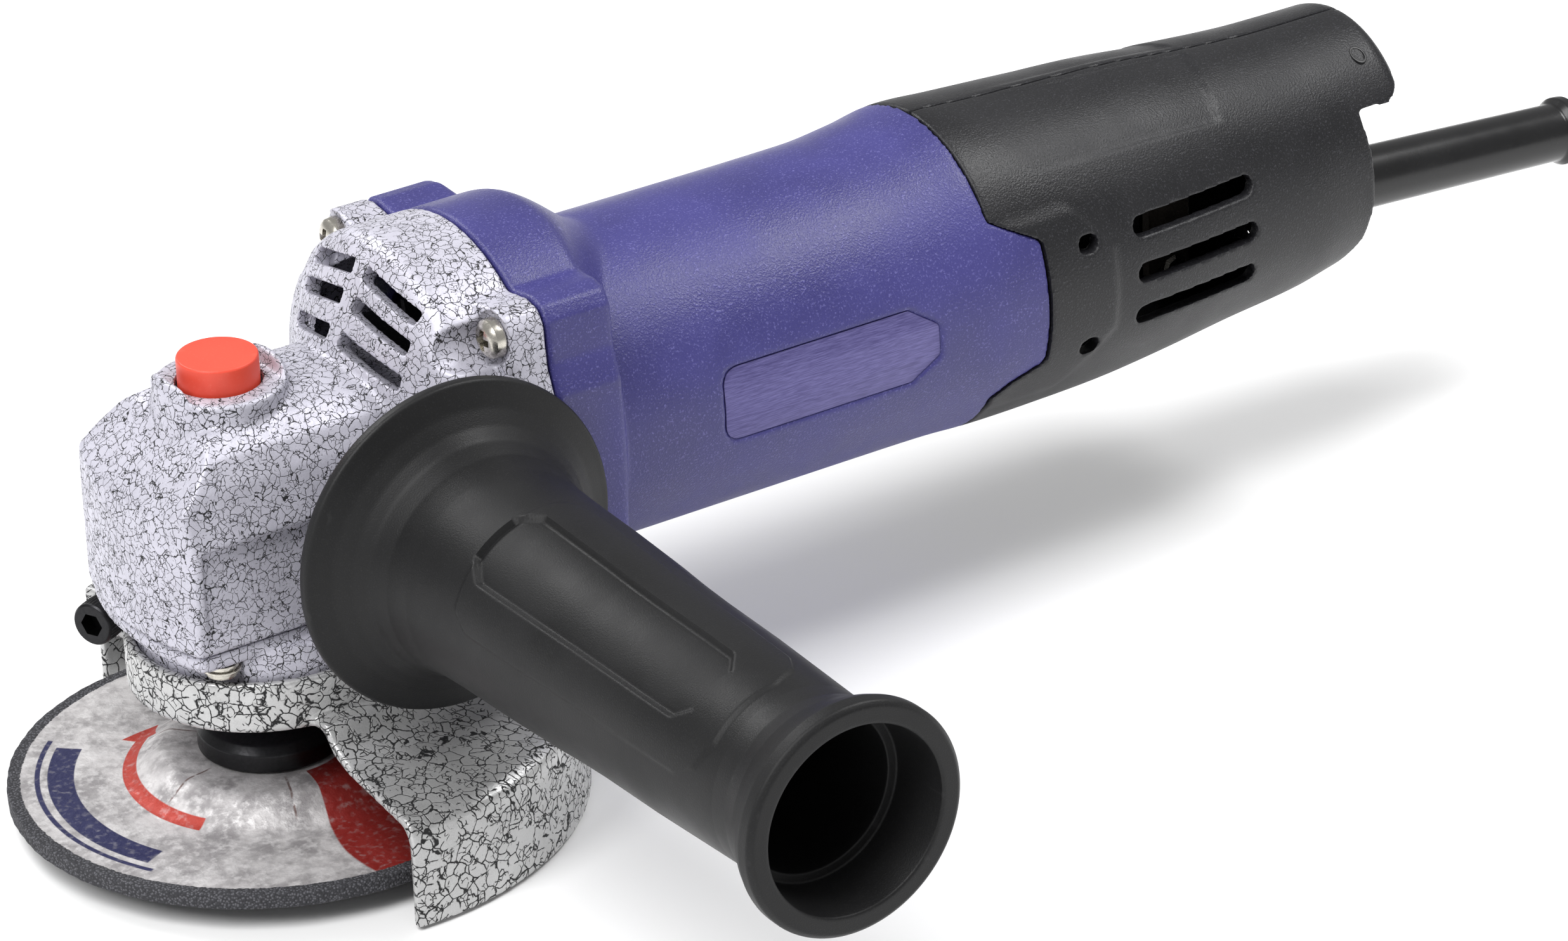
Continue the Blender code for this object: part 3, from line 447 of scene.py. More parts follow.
def crackle(name, cell, line, paint, crack, metallic, roughness):
    """Two-coat crackle finish: light coat torn into flakes over a dark one."""
    made, tree, shader, where = material(name)
    wander = add(tree, "TexNoise", {"Vector": where, "Scale": 0.8 / cell, "Detail": 3.0})
    shift = add(tree, "VectorMath", {0: wander.outputs["Color"], 1: (0.5, 0.5, 0.5)},
                operation="SUBTRACT").outputs[0]
    shift = add(tree, "VectorMath", {0: shift, "Scale": 0.9 * cell}, operation="SCALE").outputs[0]
    bent = add(tree, "VectorMath", {0: where, 1: shift}, operation="ADD").outputs[0]

    def tears(size, width, gate_scale, gate):
        found = add(tree, "TexVoronoi", {"Vector": bent, "Scale": 1.0 / size},
                    feature="DISTANCE_TO_EDGE").outputs["Distance"]
        near = ramp(tree, found, width * 0.2 / size, width * 0.6 / size, 1.0, 0.0)
        open_here = ramp(tree, noise(tree, where, gate_scale, 2.0), gate, gate + 0.05)
        return math_node(tree, "MULTIPLY", near, open_here)

    wide = tears(cell, line, 0.7 / cell, 0.38)
    narrow = tears(cell * 0.55, line * 0.7, 1.1 / cell, 0.5)
    torn = math_node(tree, "MAXIMUM", wide, narrow)
    tone = noise(tree, where, 0.09, 3.0)
    speck = noise(tree, where, 4.5, 2.0)
    light = blend(tree, ramp(tree, tone, 0.3, 0.7), [c * 0.86 for c in paint], paint)
    light = blend(tree, ramp(tree, speck, 0.35, 0.7, 0.0, 0.35), light,
                  [min(1.0, c * 1.22) for c in paint])
    plug(tree, shader, "Base Color", blend(tree, torn, light, crack))
    rough = ramp(tree, noise(tree, where, 0.8, 3.0), 0.3, 0.7, roughness - 0.06, roughness + 0.08)
    dull = add(tree, "Mix", {0: torn, 2: rough, 3: 0.75}, data_type="FLOAT").outputs[0]
    plug(tree, shader, "Roughness", dull)
    flat = math_node(tree, "SUBTRACT", 1.0, torn)
    plug(tree, shader, "Metallic", math_node(tree, "MULTIPLY", flat, metallic))
    orange_peel = bump(tree, shader, noise(tree, where, 2.2, 2.0), 0.35, 0.12)
    bump(tree, shader, flat, 0.5, 0.12, orange_peel)
    return made


def moulded(name, color, glint, grain, strength, roughness, haze=0.0, shine=0.5):
    """Spark-textured plastic: fine grain with glints painted on its highest specks, cloudy gloss, rubbed
    edges.
    """
    made, tree, shader, where = material(name)
    fine = noise(tree, where, 1.0 / grain, 2.0, 0.6)
    cloud = noise(tree, where, 0.06, 4.0)
    body = blend(tree, ramp(tree, cloud, 0.3, 0.75), color, [c * 1.25 + haze for c in color])
    # Painted glints: the highest specks of the grain take the lighter glint colour.
    painted_glints = ramp(tree, fine, 0.55, 0.72, 0.0, 0.45)
    body = blend(tree, painted_glints, body, glint)
    worn = math_node(tree, "MULTIPLY", edges(tree, 0.52, 0.62), 0.35)
    plug(tree, shader, "Base Color", blend(tree, worn, body, glint))
    plug(tree, shader, "Roughness", ramp(tree, cloud, 0.25, 0.75, roughness - 0.05, roughness + 0.08))
    shader.inputs["Specular IOR Level"].default_value = shine
    bump(tree, shader, fine, strength, 0.13)
    return made


def metal(name, color, roughness, grain=0.0, hollow_shade=0.25):
    """Bare or plated metal with fine marks, and shade painted darker into its hollows."""
    made, tree, shader, where = material(name)
    marks = noise(tree, where, 1.4, 6.0, 0.7)
    # Painted shade: the hollows, found from pointiness, are coloured darker.
    hollow = edges(tree, 0.5, 0.42)
    painted_shade = math_node(tree, "MULTIPLY", hollow, hollow_shade)
    tint = blend(tree, ramp(tree, marks, 0.35, 0.7), color, [c * 0.82 for c in color])
    plug(tree, shader, "Base Color", blend(tree, painted_shade, tint, [c * 0.25 for c in color]))
    shader.inputs["Metallic"].default_value = 1.0
    plug(tree, shader, "Roughness", ramp(tree, marks, 0.3, 0.75, roughness - 0.05, roughness + 0.12))
    bump(tree, shader, noise(tree, where, 9.0, 2.0), 0.12 + grain, 0.02)
    return made


def ringed(name, color, roughness, axis, pitch):
    """Turned or wound metal with fine rings or turns along an axis."""
    made, tree, shader, where = material(name)
    along = add(tree, "SeparateXYZ", {0: where}).outputs[axis]
    wave = math_node(tree, "SINE", math_node(tree, "MULTIPLY", along, 2 * math.pi / pitch))
    height = math_node(tree, "MULTIPLY_ADD", wave, 0.5)
    patches = noise(tree, where, 0.7, 3.0)
    body = blend(tree, ramp(tree, patches, 0.3, 0.7), color, [c * 0.7 for c in color])
    # Painted shade: the grooves between the rings or turns are coloured darker.
    plug(tree, shader, "Base Color", blend(tree, ramp(tree, wave, 0.2, -0.9, 0.0, 0.55), body,
                                           [c * 0.3 for c in color]))
    shader.inputs["Metallic"].default_value = 1.0
    plug(tree, shader, "Roughness", ramp(tree, patches, 0.3, 0.7, roughness, roughness + 0.12))
    bump(tree, shader, height, 0.5, 0.08)
    return made


def fibrous(name, color, roughness, grain):
    """Pressed fibre or carbon: matt, with a felted grain."""
    made, tree, shader, where = material(name)
    fuzz = noise(tree, where, 1.0 / grain, 5.0, 0.7)
    plug(tree, shader, "Base Color", blend(tree, ramp(tree, fuzz, 0.3, 0.7), [c * 0.6 for c in color],
                                           color))
    shader.inputs["Roughness"].default_value = roughness
    bump(tree, shader, fuzz, 0.5, 0.15)
    return made


def brushed_plate(name, color, glint):
    """Foil name plate, brushed along the motor."""
    made, tree, shader, where = material(name)
    stretched = add(tree, "VectorMath", {0: where, 1: (0.06, 1.0, 1.0)}, operation="MULTIPLY").outputs[0]
    streak = noise(tree, stretched, 5.0, 3.0, 0.65)
    plug(tree, shader, "Base Color", blend(tree, ramp(tree, streak, 0.3, 0.75), color, glint))
    shader.inputs["Metallic"].default_value = 0.35
    plug(tree, shader, "Roughness", ramp(tree, streak, 0.3, 0.7, 0.34, 0.48))
    bump(tree, shader, streak, 0.15, 0.03)
    return made


LABEL_R = 47.8              # edge of the paper label
ARROW_R = 26.9
BAND_R = 39.8
SPOKES = 6


def wheel_look():
    """Grey grit with a printed paper label on the upper side."""
    made, tree, shader, where = material("abrasive_label")

    def plus(a, b):
        return math_node(tree, "ADD", a, b)

    def minus(a, b):
        return math_node(tree, "SUBTRACT", a, b)

    def times(*factors):
        out = factors[0]
        for factor in factors[1:]:
            out = math_node(tree, "MULTIPLY", out, factor)
        return out

    def past(value, low, high):
        return ramp(tree, value, low, high)

    def before(value, low, high):
        return ramp(tree, value, low, high, 1.0, 0.0)

    def near(value, middle, half, soft):
        return before(math_node(tree, "ABSOLUTE", minus(value, middle)), half - soft, half + soft)

    parts = add(tree, "SeparateXYZ", {0: where}).outputs
    flat = add(tree, "CombineXYZ", {0: parts[0], 1: parts[1], 2: 0.0}).outputs[0]
    r = add(tree, "VectorMath", {0: flat}, operation="LENGTH").outputs["Value"]
    degrees = times(math_node(tree, "ARCTAN2", parts[1], parts[0]), 180.0 / math.pi)
    round_by = math_node(tree, "FLOORED_MODULO", degrees, 360.0)      # 0..360 round the wheel

    ragged = math_node(tree, "MULTIPLY_ADD", noise(tree, where, 1.1, 4.0), 0.9)
    normal = add(tree, "NewGeometry").outputs["True Normal"]
    upper = past(add(tree, "SeparateXYZ", {0: normal}).outputs[2], 0.3, 0.5)
    paper = times(before(plus(r, ragged), LABEL_R + 0.4, LABEL_R + 0.6), upper)

    crease = noise(tree, where, 0.55, 5.0, 0.62)
    blotch = noise(tree, where, 0.16, 4.0, 0.55)
    silver = blend(tree, past(blotch, 0.35, 0.68), (0.30, 0.285, 0.29), (0.62, 0.60, 0.60))
    # Painted highlight: the crests of the label's creases are coloured lighter.
    silver = blend(tree, ramp(tree, crease, 0.42, 0.72, 0.0, 0.7), silver, (0.80, 0.78, 0.78))

    arrow = times(near(r, ARROW_R, 1.35, 0.12), near(round_by, 168.0, 43.0, 0.4))
    head_half = times(minus(round_by, 112.0), 0.25)
    head_off = math_node(tree, "ABSOLUTE", minus(r, ARROW_R + 0.6))
    head = times(before(minus(head_off, head_half), -0.15, 0.15), past(round_by, 112.0, 112.4),
                 before(round_by, 126.4, 126.8))
    red = math_node(tree, "MAXIMUM", arrow, head)
    sway = times(math_node(tree, "SINE", times(r, 0.13)), -3.0)
    wedge = times(near(plus(round_by, sway), 301.0, 37.5, 0.4), past(r, 14.2, 14.5))
    broad = times(near(r, BAND_R, 2.5, 0.12), near(round_by, 171.0, 36.0, 0.3))
    thin = times(near(r, BAND_R + 4.4, 0.5, 0.12), near(round_by, 171.0, 39.0, 0.3))
    bars = math_node(tree, "MAXIMUM", broad, thin)
    fold = math_node(tree, "FLOORED_MODULO", plus(round_by, 80.0), 360.0 / SPOKES)
    spoke_off = times(math_node(tree, "ABSOLUTE", minus(fold, 180.0 / SPOKES)), math.pi / 180.0)
    spoke = times(before(times(spoke_off, r), 0.12, 0.3), near(r, 20.0, 5.0, 1.0),
                  past(noise(tree, where, 0.5), 0.35, 0.5))

    print_wear = ramp(tree, noise(tree, where, 0.7, 4.0), 0.25, 0.5, 0.72, 1.0)
    face = blend(tree, times(spoke, 0.8), silver, (0.11, 0.05, 0.04))
    face = blend(tree, times(wedge, print_wear), face, (0.27, 0.022, 0.018))
    face = blend(tree, times(red, print_wear), face, (0.42, 0.035, 0.02))
    face = blend(tree, times(bars, print_wear), face, (0.018, 0.02, 0.085))

    grit = add(tree, "TexVoronoi", {"Vector": where, "Scale": 1.9}).outputs["Distance"]
    sand = blend(tree, past(grit, 0.1, 0.6), (0.13, 0.13, 0.145), (0.035, 0.035, 0.04))
    plug(tree, shader, "Base Color", blend(tree, paper, sand, face))
    gloss = ramp(tree, crease, 0.4, 0.7, 0.52, 0.30)
    rough = add(tree, "Mix", {0: paper, 2: 0.9, 3: gloss}, data_type="FLOAT").outputs[0]
    plug(tree, shader, "Roughness", rough)
    plug(tree, shader, "Metallic", times(paper, 0.25))
    first = bump(tree, shader, times(grit, minus(1.0, paper)), 0.9, 0.35)
    bump(tree, shader, times(crease, paper), 0.55, 0.4, first)
    return made


LOOKS = {
    "case": crackle("crackle_case", 1.8, 0.14, (0.55, 0.54, 0.62), (0.012, 0.012, 0.014), 0.2, 0.42),
    "guard": crackle("crackle_sheet", 2.7, 0.28, (0.56, 0.56, 0.56), (0.008, 0.008, 0.009), 0.5, 0.34),
    "violet": moulded("violet_plastic", (0.036, 0.033, 0.155), (0.20, 0.19, 0.48), 0.42, 1.0, 0.36),
    "black": moulded("black_plastic", (0.0075, 0.0075, 0.009), (0.065, 0.065, 0.075), 0.40, 0.8, 0.38,
                     0.001, 0.38),
    "grip": moulded("grip_plastic", (0.0075, 0.0075, 0.008), (0.024, 0.024, 0.025), 0.30, 0.35, 0.46,
                    0.001, 0.27),
    "rubber": moulded("sleeve_rubber", (0.006, 0.006, 0.0065), (0.014, 0.014, 0.014), 0.9, 0.06, 0.22,
                      0.0, 0.45),
    "red": moulded("red_plastic", (0.68, 0.065, 0.035), (0.76, 0.11, 0.07), 0.5, 0.10, 0.42),
    "switch": moulded("switch_plastic", (0.010, 0.010, 0.011), (0.04, 0.04, 0.04), 0.6, 0.15, 0.35,
                      0.0, 0.4),
    "plate": brushed_plate("name_plate", (0.075, 0.065, 0.20), (0.16, 0.145, 0.35)),
    "nickel": metal("nickel", (0.62, 0.59, 0.53), 0.24, hollow_shade=0.75),
    "steel": metal("turned_steel", (0.56, 0.56, 0.57), 0.28, 0.1),
    "blackened": metal("black_oxide", (0.035, 0.035, 0.037), 0.34, 0.15),
    "copper": ringed("wound_copper", (0.72, 0.28, 0.10), 0.30, 0, 0.8),
    "laminated": ringed("laminated_steel", (0.33, 0.33, 0.35), 0.42, 0, 0.6),
    "brass": metal("brass", (0.72, 0.52, 0.22), 0.26),
    "fibre": fibrous("pressed_fibre", (0.055, 0.045, 0.036), 0.85, 0.5),
    "carbon": fibrous("pressed_carbon", (0.03, 0.03, 0.03), 0.6, 0.25),
    "wheel": wheel_look(),
}

# Slots of the record and the look that each carried-over CAD node takes
SLOT_LOOKS = {
    "crackle_coat": "case", "crackle_guard": "guard", "blue_plastic": "violet",
    "black_plastic": "black", "switch_plastic": "switch", "handle_plastic": "grip",
    "black_rubber": "rubber", "red_plastic": "red", "zinc_steel": "nickel",
    "bearing_steel": "steel", "black_steel": "blackened", "laminated_steel": "laminated",
    "copper_winding": "copper", "fibre": "fibre", "carbon": "carbon", "brass": "brass",
    "abrasive": "wheel",
}


def finish_cad_nodes():
    """Procedural looks on the CAD nodes, by the slots of the record."""
    slots = {row["node"]: row["material_slot"] for row in frame["record"]["subparts"]}
    for node, obj in frame["nodes"].items():
        obj.data.materials.clear()
        obj.data.materials.append(LOOKS[SLOT_LOOKS[slots[node]]])


# ---------------------------------------------------------------- shared outlines

def flange_outline():
    """Joint face between the two housings: arched crown, an ear at each screw, flat foot."""
    ear = [(26.9, 96.4), (30.6, 95.7), (32.5, 93.2), (32.9, 89.6), (33.2, 85.0), (35.5, 79.0),
           (36.0, 62.0), (35.5, 45.0), (33.2, 39.0), (32.8, 34.0), (32.2, 30.4), (29.8, 27.9),
           (26.0, 27.2), (13.0, 26.6)]
    half = arc(0, ARCH_Z, ARCH_R, 90, 52, 16) + rounded([(21.6, 95.2)] + ear, 1.6, 3, False)[1:]
    mirrored = [(-y, z) for y, z in reversed(half[1:])]
    return half + mirrored


def ear(side_sign, level_sign, x=0.0):
    """Place of a screw in the joint face."""
    return (x, side_sign * EAR_Y, MOTOR_Z + level_sign * EAR_DZ)


def box_corner(row, side_sign, z=0.0):
    """Place of a screw in the bearing box."""
    return (row * BOX_SCREW[0], side_sign * BOX_SCREW[1], z)


def smooth_table(x, table):
    """Cubic curve through rows of (x, a, b, ...)."""
    x = min(max(x, table[0][0]), table[-1][0])
    i = max(k for k in range(len(table) - 1) if table[k][0] <= x)
    before, near, far, after = (table[max(i - 1, 0)], table[i], table[i + 1],
                                table[min(i + 2, len(table) - 1)])
    span = far[0] - near[0]
    t = (x - near[0]) / span
    out = []
    for k in range(1, len(near)):
        slope_near = (far[k] - before[k]) / (far[0] - before[0]) * span
        slope_far = (after[k] - near[k]) / (after[0] - near[0]) * span
        out.append((2 * t ** 3 - 3 * t ** 2 + 1) * near[k] + (t ** 3 - 2 * t ** 2 + t) * slope_near
                   + (3 * t ** 2 - 2 * t ** 3) * far[k] + (t ** 3 - t ** 2) * slope_far)
    return out


def body_radius(x, angle):
    """Distance from the motor's axis to the body's outside."""
    top, side, low = smooth_table(x, BODY_SHAPE)
    lift = math.sin(angle)
    return side + ((top if lift > 0 else low) - side) * lift * lift


def body_ring(x, angles, inset=0.0):
    out = []
    for angle in angles:
        r = body_radius(x, angle) - inset
        out.append((x, r * math.cos(angle), MOTOR_Z + r * math.sin(angle)))
    return out


def round_angles(count):
    return [2 * math.pi * i / count for i in range(count)]


def steps_between(low, high, step):
    count = max(1, math.ceil((high - low) / step))
    return [low + (high - low) * i / count for i in range(count + 1)]


def behind_tab(name, shift, forward):
    """All that lies on one side of the tabbed joint between motor housing and rear cover."""
    edge = rounded([(x + shift, z) for x, z in TAB_EDGE], 2.0, 4, False)
    far_x = 120.0 if forward else 175.0
    outline = [(far_x, 110.0), (edge[0][0], 110.0), *edge, (edge[-1][0], 15.0), (far_x, 15.0)]
    return prism(name, outline, -45, 45, FROM_Y)


def stadium(cx, cz, length, width, steps=10):
    r = width / 2
    half = length / 2 - r
    return arc(cx + half, cz, r, -90, 90, steps) + arc(cx - half, cz, r, 90, 270, steps)


# ---------------------------------------------------------------- gear case

def head_plan(inset=0.0):
    """Gear head seen from above, with a bowed front."""
    r = FRONT_R - inset
    middle = HEAD_FRONT + FRONT_R
    half = math.degrees(math.asin((HEAD_Y - inset) / r))
    front = arc(middle, 0, r, 180 - half, 180 + half, 24)
    return rounded([(24.0, HEAD_Y - inset), *front, (24.0, -HEAD_Y + inset)],
                   [0, 1.6] + [0] * 23 + [1.6, 0], 4)


def gear_head():
    """Block over the crown gear, sloped in front and arched on top."""
    head = prism("head", head_plan(-0.3), HEAD_LOW, HEAD_HIGH)
    side = rounded([(-32.0, 40.0), (26.0, 40.0), (26.0, HEAD_HIGH), (8.0, 82.6), (-12.0, 81.2), (-16.5, 78.6),
                    (-27.3, 67.6), (-28.6, 62.0), (-32.0, 56.0)], 2.0, 4)
    crown = [(HEAD_Y, 40.0), (HEAD_Y + 0.3, 62.6), (18.9, 72.6), (16.4, 77.4), (12.0, 80.6), (6.0, 82.3),
             (0, 82.6)]
    crown += [(-y, z) for y, z in reversed(crown[:-1])]
    crown = rounded(crown, [0, 0.6] + [3.0] * 9 + [0.6, 0], 4)
    return keep(head, prism("head_side", side, -40, 40, FROM_Y), prism("head_crown", crown, -40, 60, TO_X))


def gear_case_bodies():
    """Head, hood, flange and bosses, before they are cast into one."""
    head = gear_head()
    hood_profile = ((0, 37.0), (ARCH_R, 37.0), (ARCH_R, 30.2), (ARCH_R - 0.9, 28.3), (29.6, 25.8),
                    (14.0, 17.4), (9.0, 12.0), (0, 12.0))
    hood = lathe("hood", rounded(hood_profile, [0, 0, 1.5, 2.0, 2.5, 4.0, 2.0, 0], 5), ARCH_AXIS, 120)
    flange = prism("flange", flange_outline(), 36.4, PARTING_X, TO_X)
    boss_profile = ((0, 87.4), (11.2, 87.4), (12.4, 85.6), (12.9, 75.0), (0, 75.0))
    button_boss = lathe("button_boss", rounded(boss_profile, [0, 0.6, 1, 1, 0]), BUTTON_AXIS, 64)
    cut(button_boss, prism("boss_scoop", [(-9.6, 84.6), (9.6, 84.6), (10.6, 92.0), (-10.6, 92.0)],
                           -20, 20, placed(FROM_Y, (BUTTON_X, 0, 0))))
    across = placed(TO_Y, (HANDLE_X, 0, HANDLE_Z))
    handle_boss = rod("handle_boss", 11.5, -HANDLE_FACE, HANDLE_FACE, across)
    root = lathe("handle_boss_root", ((0, 25.0), (12.0, 25.0), (16.0, 19.0), (16.0, -19.0), (12.0, -25.0),
                                      (0, -25.0)), across, 64)
    return head, hood, flange, button_boss, handle_boss, root


def gear_case_hollows():
    """Gear chamber, bearing seats, lock's well and the air way under the hood."""
    pin = placed(AS_IS, (-LOCK_R, 0, 0))
    tools = [rod("chamber", 18.0, 40.0, 66.5),
             rod("top_seat", 6.8, 60.0, 76.5),
             rod("well", BUTTON_R + 0.5, 79.0, 95.0, BUTTON_AXIS, 64),
             rod("pin_bore", 1.9, 60.0, 82.0, pin, 24),
             rod("spring_bore", 3.1, 70.0, 80.0, pin, 24),
             rod("shaft_bore", 7.0, 8.3, 30.0, MOTOR_AXIS, 32),
             rod("bearing_seat", 11.3, 23.7, 36.0, MOTOR_AXIS),
             rod("fan_room", 27.3, 33.0, 50.0, MOTOR_AXIS, 96)]
    inside = ((0, 50.0), (30.3, 50.0), (30.3, 38.6), (27.6, 38.6), (27.6, 28.8), (15.5, 22.0), (0, 22.0))
    air_way = lathe("air_way", inside, ARCH_AXIS, 96)
    tools.append(cut(air_way, box("air_way_low", (10, -40, 20), (60, 40, 76.5))))
    return tools


def gear_case_openings(side_sign):
    """Handle's hole, side panel, screw ways and air slots of one side."""
    out = TO_Y if side_sign > 0 else FROM_Y
    tools = [rod("handle_hole", HANDLE_HOLE_R, HANDLE_FACE - HANDLE_HOLE_DEEP, 40.0,
                 placed(out, (HANDLE_X, 0, HANDLE_Z)), 32)]
    panel = [(side_sign * y, z) for y, z in ((19.5, 61.4), (22.5, 63.2), (22.5, 42.5), (20.9, 43.5))]
    tools.append(prism("side_panel", panel, -22.4, 9.0, TO_X))
    for level_sign in (-1, 1):
        spot = placed(TO_X, ear(side_sign, level_sign))
        tools.append(lathe("pocket", ((0, 14.0), (0, 37.5), (5.0, 37.5), (5.6, 14.0)), spot, 40))
        tools.append(rod("screw_way", 2.5, 30.0, 50.0, spot, 24))
    for row in (-1, 1):
        spot = placed(AS_IS, box_corner(row, side_sign))
        tools.append(rod("box_screw_way", BOX_SCREW_WAY_R, 40.0, 53.0, spot, 24))
    for x, z, tilt in HOOD_SLOTS:
        lean = Matrix.Rotation(math.radians(28.0), 4, "Y")
        roll = Matrix.Rotation(math.radians(-tilt * side_sign), 4, "X")
        near, far = sorted((side_sign * 2.0, side_sign * 18.6))
        tools.append(box("slot", (-6.0, near, -1.5), (6.0, far, 1.5), placed(roll @ lean, (x, 0, z))))
    return tools


def make_gear_case():
    case = joined("gear_case", *gear_case_bodies())
    cast(case, 0.55, 4)
    for tool in gear_case_hollows() + gear_case_openings(-1) + gear_case_openings(1):
        cut(case, tool)
    cast(case, 0.42, 2, 0.55)
    show(case, "housing", "crackle_coat", LOOKS["case"], "gear_housing")


def make_bearing_case():
    """Plate under the gear case, with the hub that the guard's collar turns on."""
    plate = prism("bearing_case", head_plan(0.5), PLATE_TOP - 6.0, 41.0)
    cut(plate, box("below", (-60, -60, 0), (60, 60, 38.0)))
    hub = lathe("hub", rounded(((0, 39.0), (23.6, 39.0), (23.6, 22.5), (0, 22.5)), [0, 0, 0.8, 0]))
    spigot = rod("spigot", 17.65, 38.5, 44.0, AS_IS, 72)
    case = joined("bearing_case", plate, hub, spigot)
    cast(case, 0.5, 2)
    tools = [rod("bearing_seat", 15.3, 29.2, 46.0), rod("seal_seat", 12.0, 25.0, 30.0),
             rod("spindle_way", 9.2, 20.0, 30.0)]
    for side_sign in (-1, 1):
        for row in (-1, 1):
            spot = placed(AS_IS, box_corner(row, side_sign))
            tools.append(rod("way", BOX_SCREW_WAY_R, 30.0, 50.0, spot, 24))
            tools.append(rod("room", 3.9, 20.0, 38.0, spot, 32))
    for tool in tools:
        cut(case, tool)
    cast(case, 0.45, 1, 0.6)
    show(case, "housing", "crackle_coat", LOOKS["case"], "bearing_box")


# ---------------------------------------------------------------- fasteners

def cross_recess(name, depth, half, matrix):
    """Cross-shaped driver recess, tapered towards its floor; local +Z goes into the head."""
    made = []
    for turn in (0, 90):
        spin = matrix @ Matrix.Rotation(math.radians(turn), 4, "Z")
        wide = [(-half, -0.72), (half, -0.72), (half, 0.72), (-half, 0.72)]
        deep = [(u * 0.45, v * 0.8) for u, v in wide]
        rings = [[spin @ Vector((u, v, h)) for u, v in ring] for ring, h in ((wide, -1.0), (deep, depth))]
        made.append(loft(name, rings))
    return made


def make_screw(name, node, at, matrix, head_r, head_h, shank_r, length):
    """Pan-head screw with a cross recess: underside of the head at the origin, shank to +Z."""
    profile = [(0, length), (shank_r * 0.6, length), (shank_r, length - 1.0)]
    pitch = 0.8
    for i in range(int((length - 2.0) / pitch)):
        top = length - 1.2 - i * pitch
        profile += [(shank_r * 0.86, top - pitch * 0.5), (shank_r, top - pitch)]
    profile += [(shank_r, 0.0), (head_r * 0.98, 0.0), (head_r, -0.3)]
    profile += [(head_r * math.cos(a), -0.3 - (head_h - 0.3) * math.sin(a) ** 0.6)
                for a in (0.35, 0.65, 0.9, 1.15, 1.4)]
    profile += [(0, -head_h)]
    where = placed(matrix, at)
    screw = lathe(name, profile, where, 40)
    for tool in cross_recess("recess", head_h * 0.65, head_r * 0.68,
                             where @ Matrix.Translation((0, 0, -head_h))):
        cut(screw, tool)
    show(screw, "housing", "zinc_steel", LOOKS["nickel"], node, angle=30.0)


def washer_ring(name, inner, outer, low, high, matrix, split=False):
    profile = rounded(((outer, high), (outer, low), (inner, low), (inner, high)), 0.15, 2)
    ring = lathe(name, profile, matrix, 48)
    if split:
        slant = matrix @ Matrix.Rotation(math.radians(20), 4, "X")
        cut(ring, box(name + "_split", (inner - 0.5, -0.25, low - 2), (outer + 0.5, 0.25, high + 2), slant))
    show(ring, "housing", "zinc_steel", LOOKS["nickel"])


def make_front_screws():
    spots = [(side_sign, level_sign) for side_sign in (-1, 1) for level_sign in (1, -1)]
    for number, (side_sign, level_sign) in enumerate(spots, 1):
        make_screw("pan_screw_%d" % number, "housing_screw_%d" % number,
                   ear(side_sign, level_sign, EAR_SEAT_X), TO_X, 3.9, 3.2, 2.1, 19.0)
    spots = [(row, side_sign) for side_sign in (-1, 1) for row in (-1, 1)]
    for number, (row, side_sign) in enumerate(spots, 1):
        at = box_corner(row, side_sign, BOX_SEAT_Z)
        make_screw("plate_screw_%d" % number, "bearing_box_screw_%d" % number, at, AS_IS, 3.1, 1.5, 2.0, 15.9)
        where = placed(AS_IS, at)
        washer_ring("flat_washer_%d" % number, 2.15, 3.6, 0.05, 0.65, where)
        washer_ring("spring_washer_%d" % number, 2.15, 3.2, 0.7, 1.65, where, split=True)


# ---------------------------------------------------------------- motor shell

def plate_outline(inset):
    """Name plate: square at the rear, a blunt point towards the cover."""
    near, shoulder, point, low, high = NAME_PLATE
    shape = [(near + inset, low + inset), (shoulder - inset * 0.4, low + inset),
             (point - inset, low + 4.5 + inset * 0.4), (point - inset, high - 4.5 - inset * 0.4),
             (shoulder - inset * 0.4, high - inset), (near + inset, high - inset)]
    return rounded(shape, [4.0, 1.0, 1.0, 1.0, 1.0, 4.0], 6)


def neck_rings(outline, angles):
    """From the flange's outline to the round barrel, drawn out further back on top."""
    rings = []
    for i in range(1, 13):
        t = i / 12
        fall = t * t * (3 - 2 * t)
        ring = []
        for (y, z), angle in zip(outline, angles):
            lift = max(0.0, math.sin(angle) - 0.55) / 0.45
            x = 58.5 + (4.0 + 13.0 * lift * lift) * t
            foot = (BODY_R * math.cos(angle), MOTOR_Z + BODY_R * math.sin(angle))
            ring.append((x, y + (foot[0] - y) * fall, z + (foot[1] - z) * fall))
        rings.append(ring)
    return rings


def make_motor_shell():
    outline = resampled(flange_outline(), 1.0)
    angles = [math.atan2(z - MOTOR_Z, y) for y, z in outline]
    face = PARTING_X + GAP
    middle = Vector((0, MOTOR_Z))

    def shrunk(x, inset):
        ring = []
        for y, z in outline:
            away = Vector((y, z)) - middle
            y, z = middle + away * (1 - inset / away.length)
            ring.append((x, y, z))
        return ring

    rings = [shrunk(face, 0.5), shrunk(face + 0.5, 0.0)]
    rings += [shrunk(x, 0.0) for x in steps_between(47.0, 58.0, 1.5)]
    rings += neck_rings(outline, angles)
    rings += [body_ring(x, angles) for x in steps_between(77.0, 162.0, 1.5)]
    shell = loft("motor_shell", rings)
    cut(shell, rod("inside", BODY_R - BODY_WALL, 40.0, 170.0, MOTOR_AXIS, 144))
    cut(shell, behind_tab("tail", 0.0, False))
    for side_sign in (-1, 1):
        recess = prism("recess", plate_outline(0.0), 10.0, 45.0, FACING[side_sign])
        cut(recess, rod("floor", BODY_R - 0.9, 70.0, 150.0, MOTOR_AXIS, 180))
        cut(shell, recess)
        for level_sign in (-1, 1):
            spot = placed(TO_X, ear(side_sign, level_sign))
            cut(shell, rod("thread", 2.5, 40.0, 57.0, spot, 20))
    cast(shell, 0.5, 2, 0.5)
    show(shell, "housing", "blue_plastic", LOOKS["violet"], "motor_housing")


